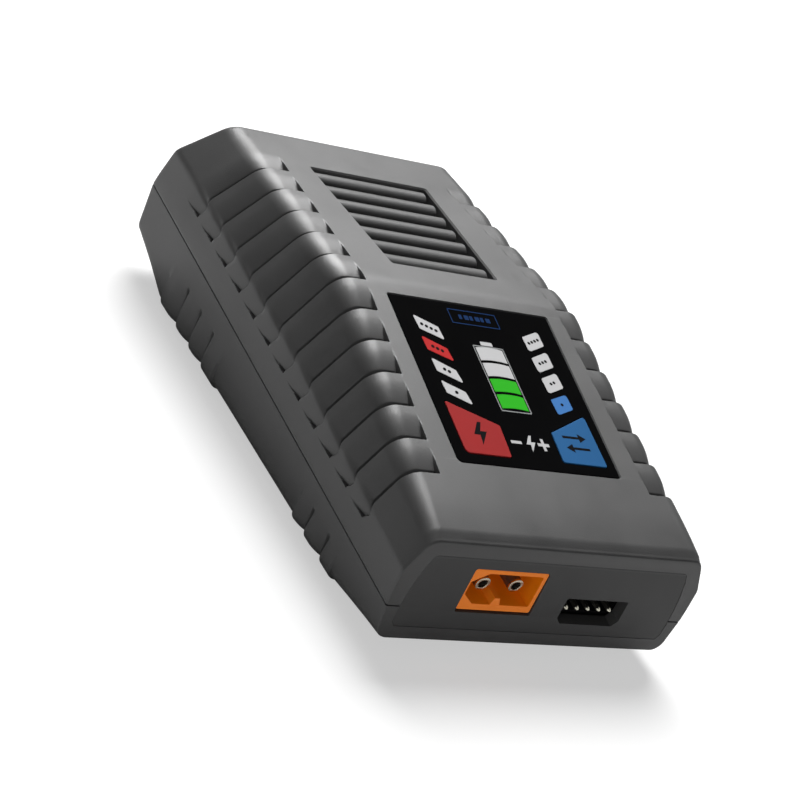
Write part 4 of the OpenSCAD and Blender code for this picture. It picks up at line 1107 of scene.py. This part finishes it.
# ------------------------------------------------------------------ CAD pieces kept as they are
CAD_LOOKS = {
    "light_shroud": "moulding_white", "key_board": "laminate_green", "lamp_chips": "lamp_chip",
    "mode_switch": "moulding_black", "mode_switch_stem": "stem_white",
    "current_switch": "moulding_black", "current_switch_stem": "stem_white",
    "key_board_screws": "steel_plated", "board_link": "moulding_black",
    "main_board": "laminate_green", "ac_pins": "steel_plated", "fuse": "fuse_brown",
    "line_choke_core": "core_coated", "line_choke_winding": "copper_enamel",
    "x_capacitor": "box_yellow", "bridge_rectifier": "moulding_black",
    "bulk_capacitors": "sleeve_blue", "transformer_core": "ferrite",
    "transformer_winding": "tape_yellow", "power_transistor": "moulding_black",
    "primary_heatsink": "aluminium_mill", "output_rectifier": "moulding_black",
    "secondary_heatsink": "aluminium_mill", "output_capacitors": "sleeve_green",
    "charge_inductor": "ferrite", "controller_chip": "moulding_black",
    "balance_resistors": "moulding_black", "y_capacitor": "disc_blue",
    "fan_frame": "moulding_black", "fan_rotor": "moulding_black", "fan_stator": "copper_enamel",
    "fan_screws": "steel_plated", "main_board_screws": "steel_plated",
    "case_screws": "steel_dark", "rating_label": "label_silver",
}
UNBEVELLED = ("line_choke_winding", "controller_chip", "lamp_chips", "balance_resistors")
for name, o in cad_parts.items():
    if name in CAD_LOOKS:
        o.data.materials.clear()
        o.data.materials.append(MADE[CAD_LOOKS[name]])
        if name not in UNBEVELLED:
            bevel = o.modifiers.new("edge", "BEVEL")
            bevel.width, bevel.segments = 0.00012, 2
            bevel.limit_method, bevel.angle_limit = "ANGLE", math.radians(40)
        o.data.set_sharp_from_angle(angle=math.radians(35))


# ------------------------------------------------------------------ stage
def by_ray(tree, seen, other):
    """A grey level that differs between what the camera sees and what lights the piece."""
    path = add_node(tree, "LightPath")
    mix = add_node(tree, "Mix", {"A": (other,) * 3 + (1,), "B": (seen,) * 3 + (1,)},
                   data_type="RGBA")
    tree.links.new(path.outputs["Is Camera Ray"], mix.inputs["Factor"])
    return mix.outputs["Result"]


def pale_floor():
    half = 6
    mesh = bpy.data.meshes.new("floor")
    mesh.from_pydata([(-half, -half, 0), (half, -half, 0), (half, half, 0), (-half, half, 0)],
                     [], [(0, 1, 2, 3)])
    floor = link(bpy.data.objects.new("floor", mesh))
    pale = bpy.data.materials.new("floor_pale")
    pale.use_nodes = True
    tree = pale.node_tree
    bsdf = tree.nodes["Principled BSDF"]
    tree.links.new(by_ray(tree, seen=0.55, other=0.62), bsdf.inputs["Base Color"])
    tree.links.new(by_ray(tree, seen=0.52, other=0.0), bsdf.inputs["Emission Color"])
    bsdf.inputs["Emission Strength"].default_value = 1.0
    bsdf.inputs["Roughness"].default_value = 0.95
    bsdf.inputs["Specular IOR Level"].default_value = 0.1
    mesh.materials.append(pale)


def studio_world():
    world = bpy.data.worlds.new("studio")
    bpy.context.scene.world = world
    world.use_nodes = True
    background = world.node_tree.nodes["Background"]
    grey = by_ray(world.node_tree, seen=1.0, other=0.06)
    world.node_tree.links.new(grey, background.inputs["Color"])
    background.inputs["Strength"].default_value = 1.0


def area(name, aim, distance, size, radiance):
    """A round soft box seen from just above the floor's origin along aim."""
    light = bpy.data.lights.new(name, "AREA")
    light.shape, light.size = "DISK", size
    light.energy = radiance * math.pi * math.pi * size * size / 4
    o = link(bpy.data.objects.new(name, light))
    aim = Vector(aim).normalized()
    o.location = Vector((0, 0, 0.02)) + aim * distance
    o.rotation_mode = "QUATERNION"
    o.rotation_quaternion = (-aim).to_track_quat("-Z", "Y")


def camera():
    """The camera, placed and aimed in the seam frame."""
    place = SEAM_FRAME @ Vector((-285.0645, -225.5460, 228.3264))
    turn = Matrix.Rotation(BASE_TILT, 3, "X")
    right = turn @ Vector((0.7782330, -0.4058801, 0.4791813))
    down = turn @ Vector((0.0957314, -0.6774597, -0.7293037))
    forward = turn @ Vector((0.6206359, 0.6134409, -0.4883660))
    data = bpy.data.cameras.new("camera")
    data.sensor_width, data.lens = 36.0, 113.77116
    data.clip_start, data.clip_end = 0.01, 20
    o = link(bpy.data.objects.new("camera", data))
    columns = Matrix((right, -down, -forward)).transposed().to_4x4()
    o.matrix_world = Matrix.Translation(place) @ columns
    bpy.context.scene.camera = o


pale_floor()
studio_world()
area("key_light", aim=(0.25, 0.57, 0.785), distance=0.85, size=0.60, radiance=13.4)
area("glint_light", aim=(-0.10, 0.66, 0.74), distance=0.9, size=0.22, radiance=6.0)
area("fill_light", aim=(-0.95, -0.45, 0.15), distance=1.2, size=0.8, radiance=0.70)
area("front_light", aim=(-0.30, -0.95, 0.20), distance=1.2, size=0.8, radiance=0.80)
camera()
bpy.context.scene.view_settings.view_transform = "Standard"
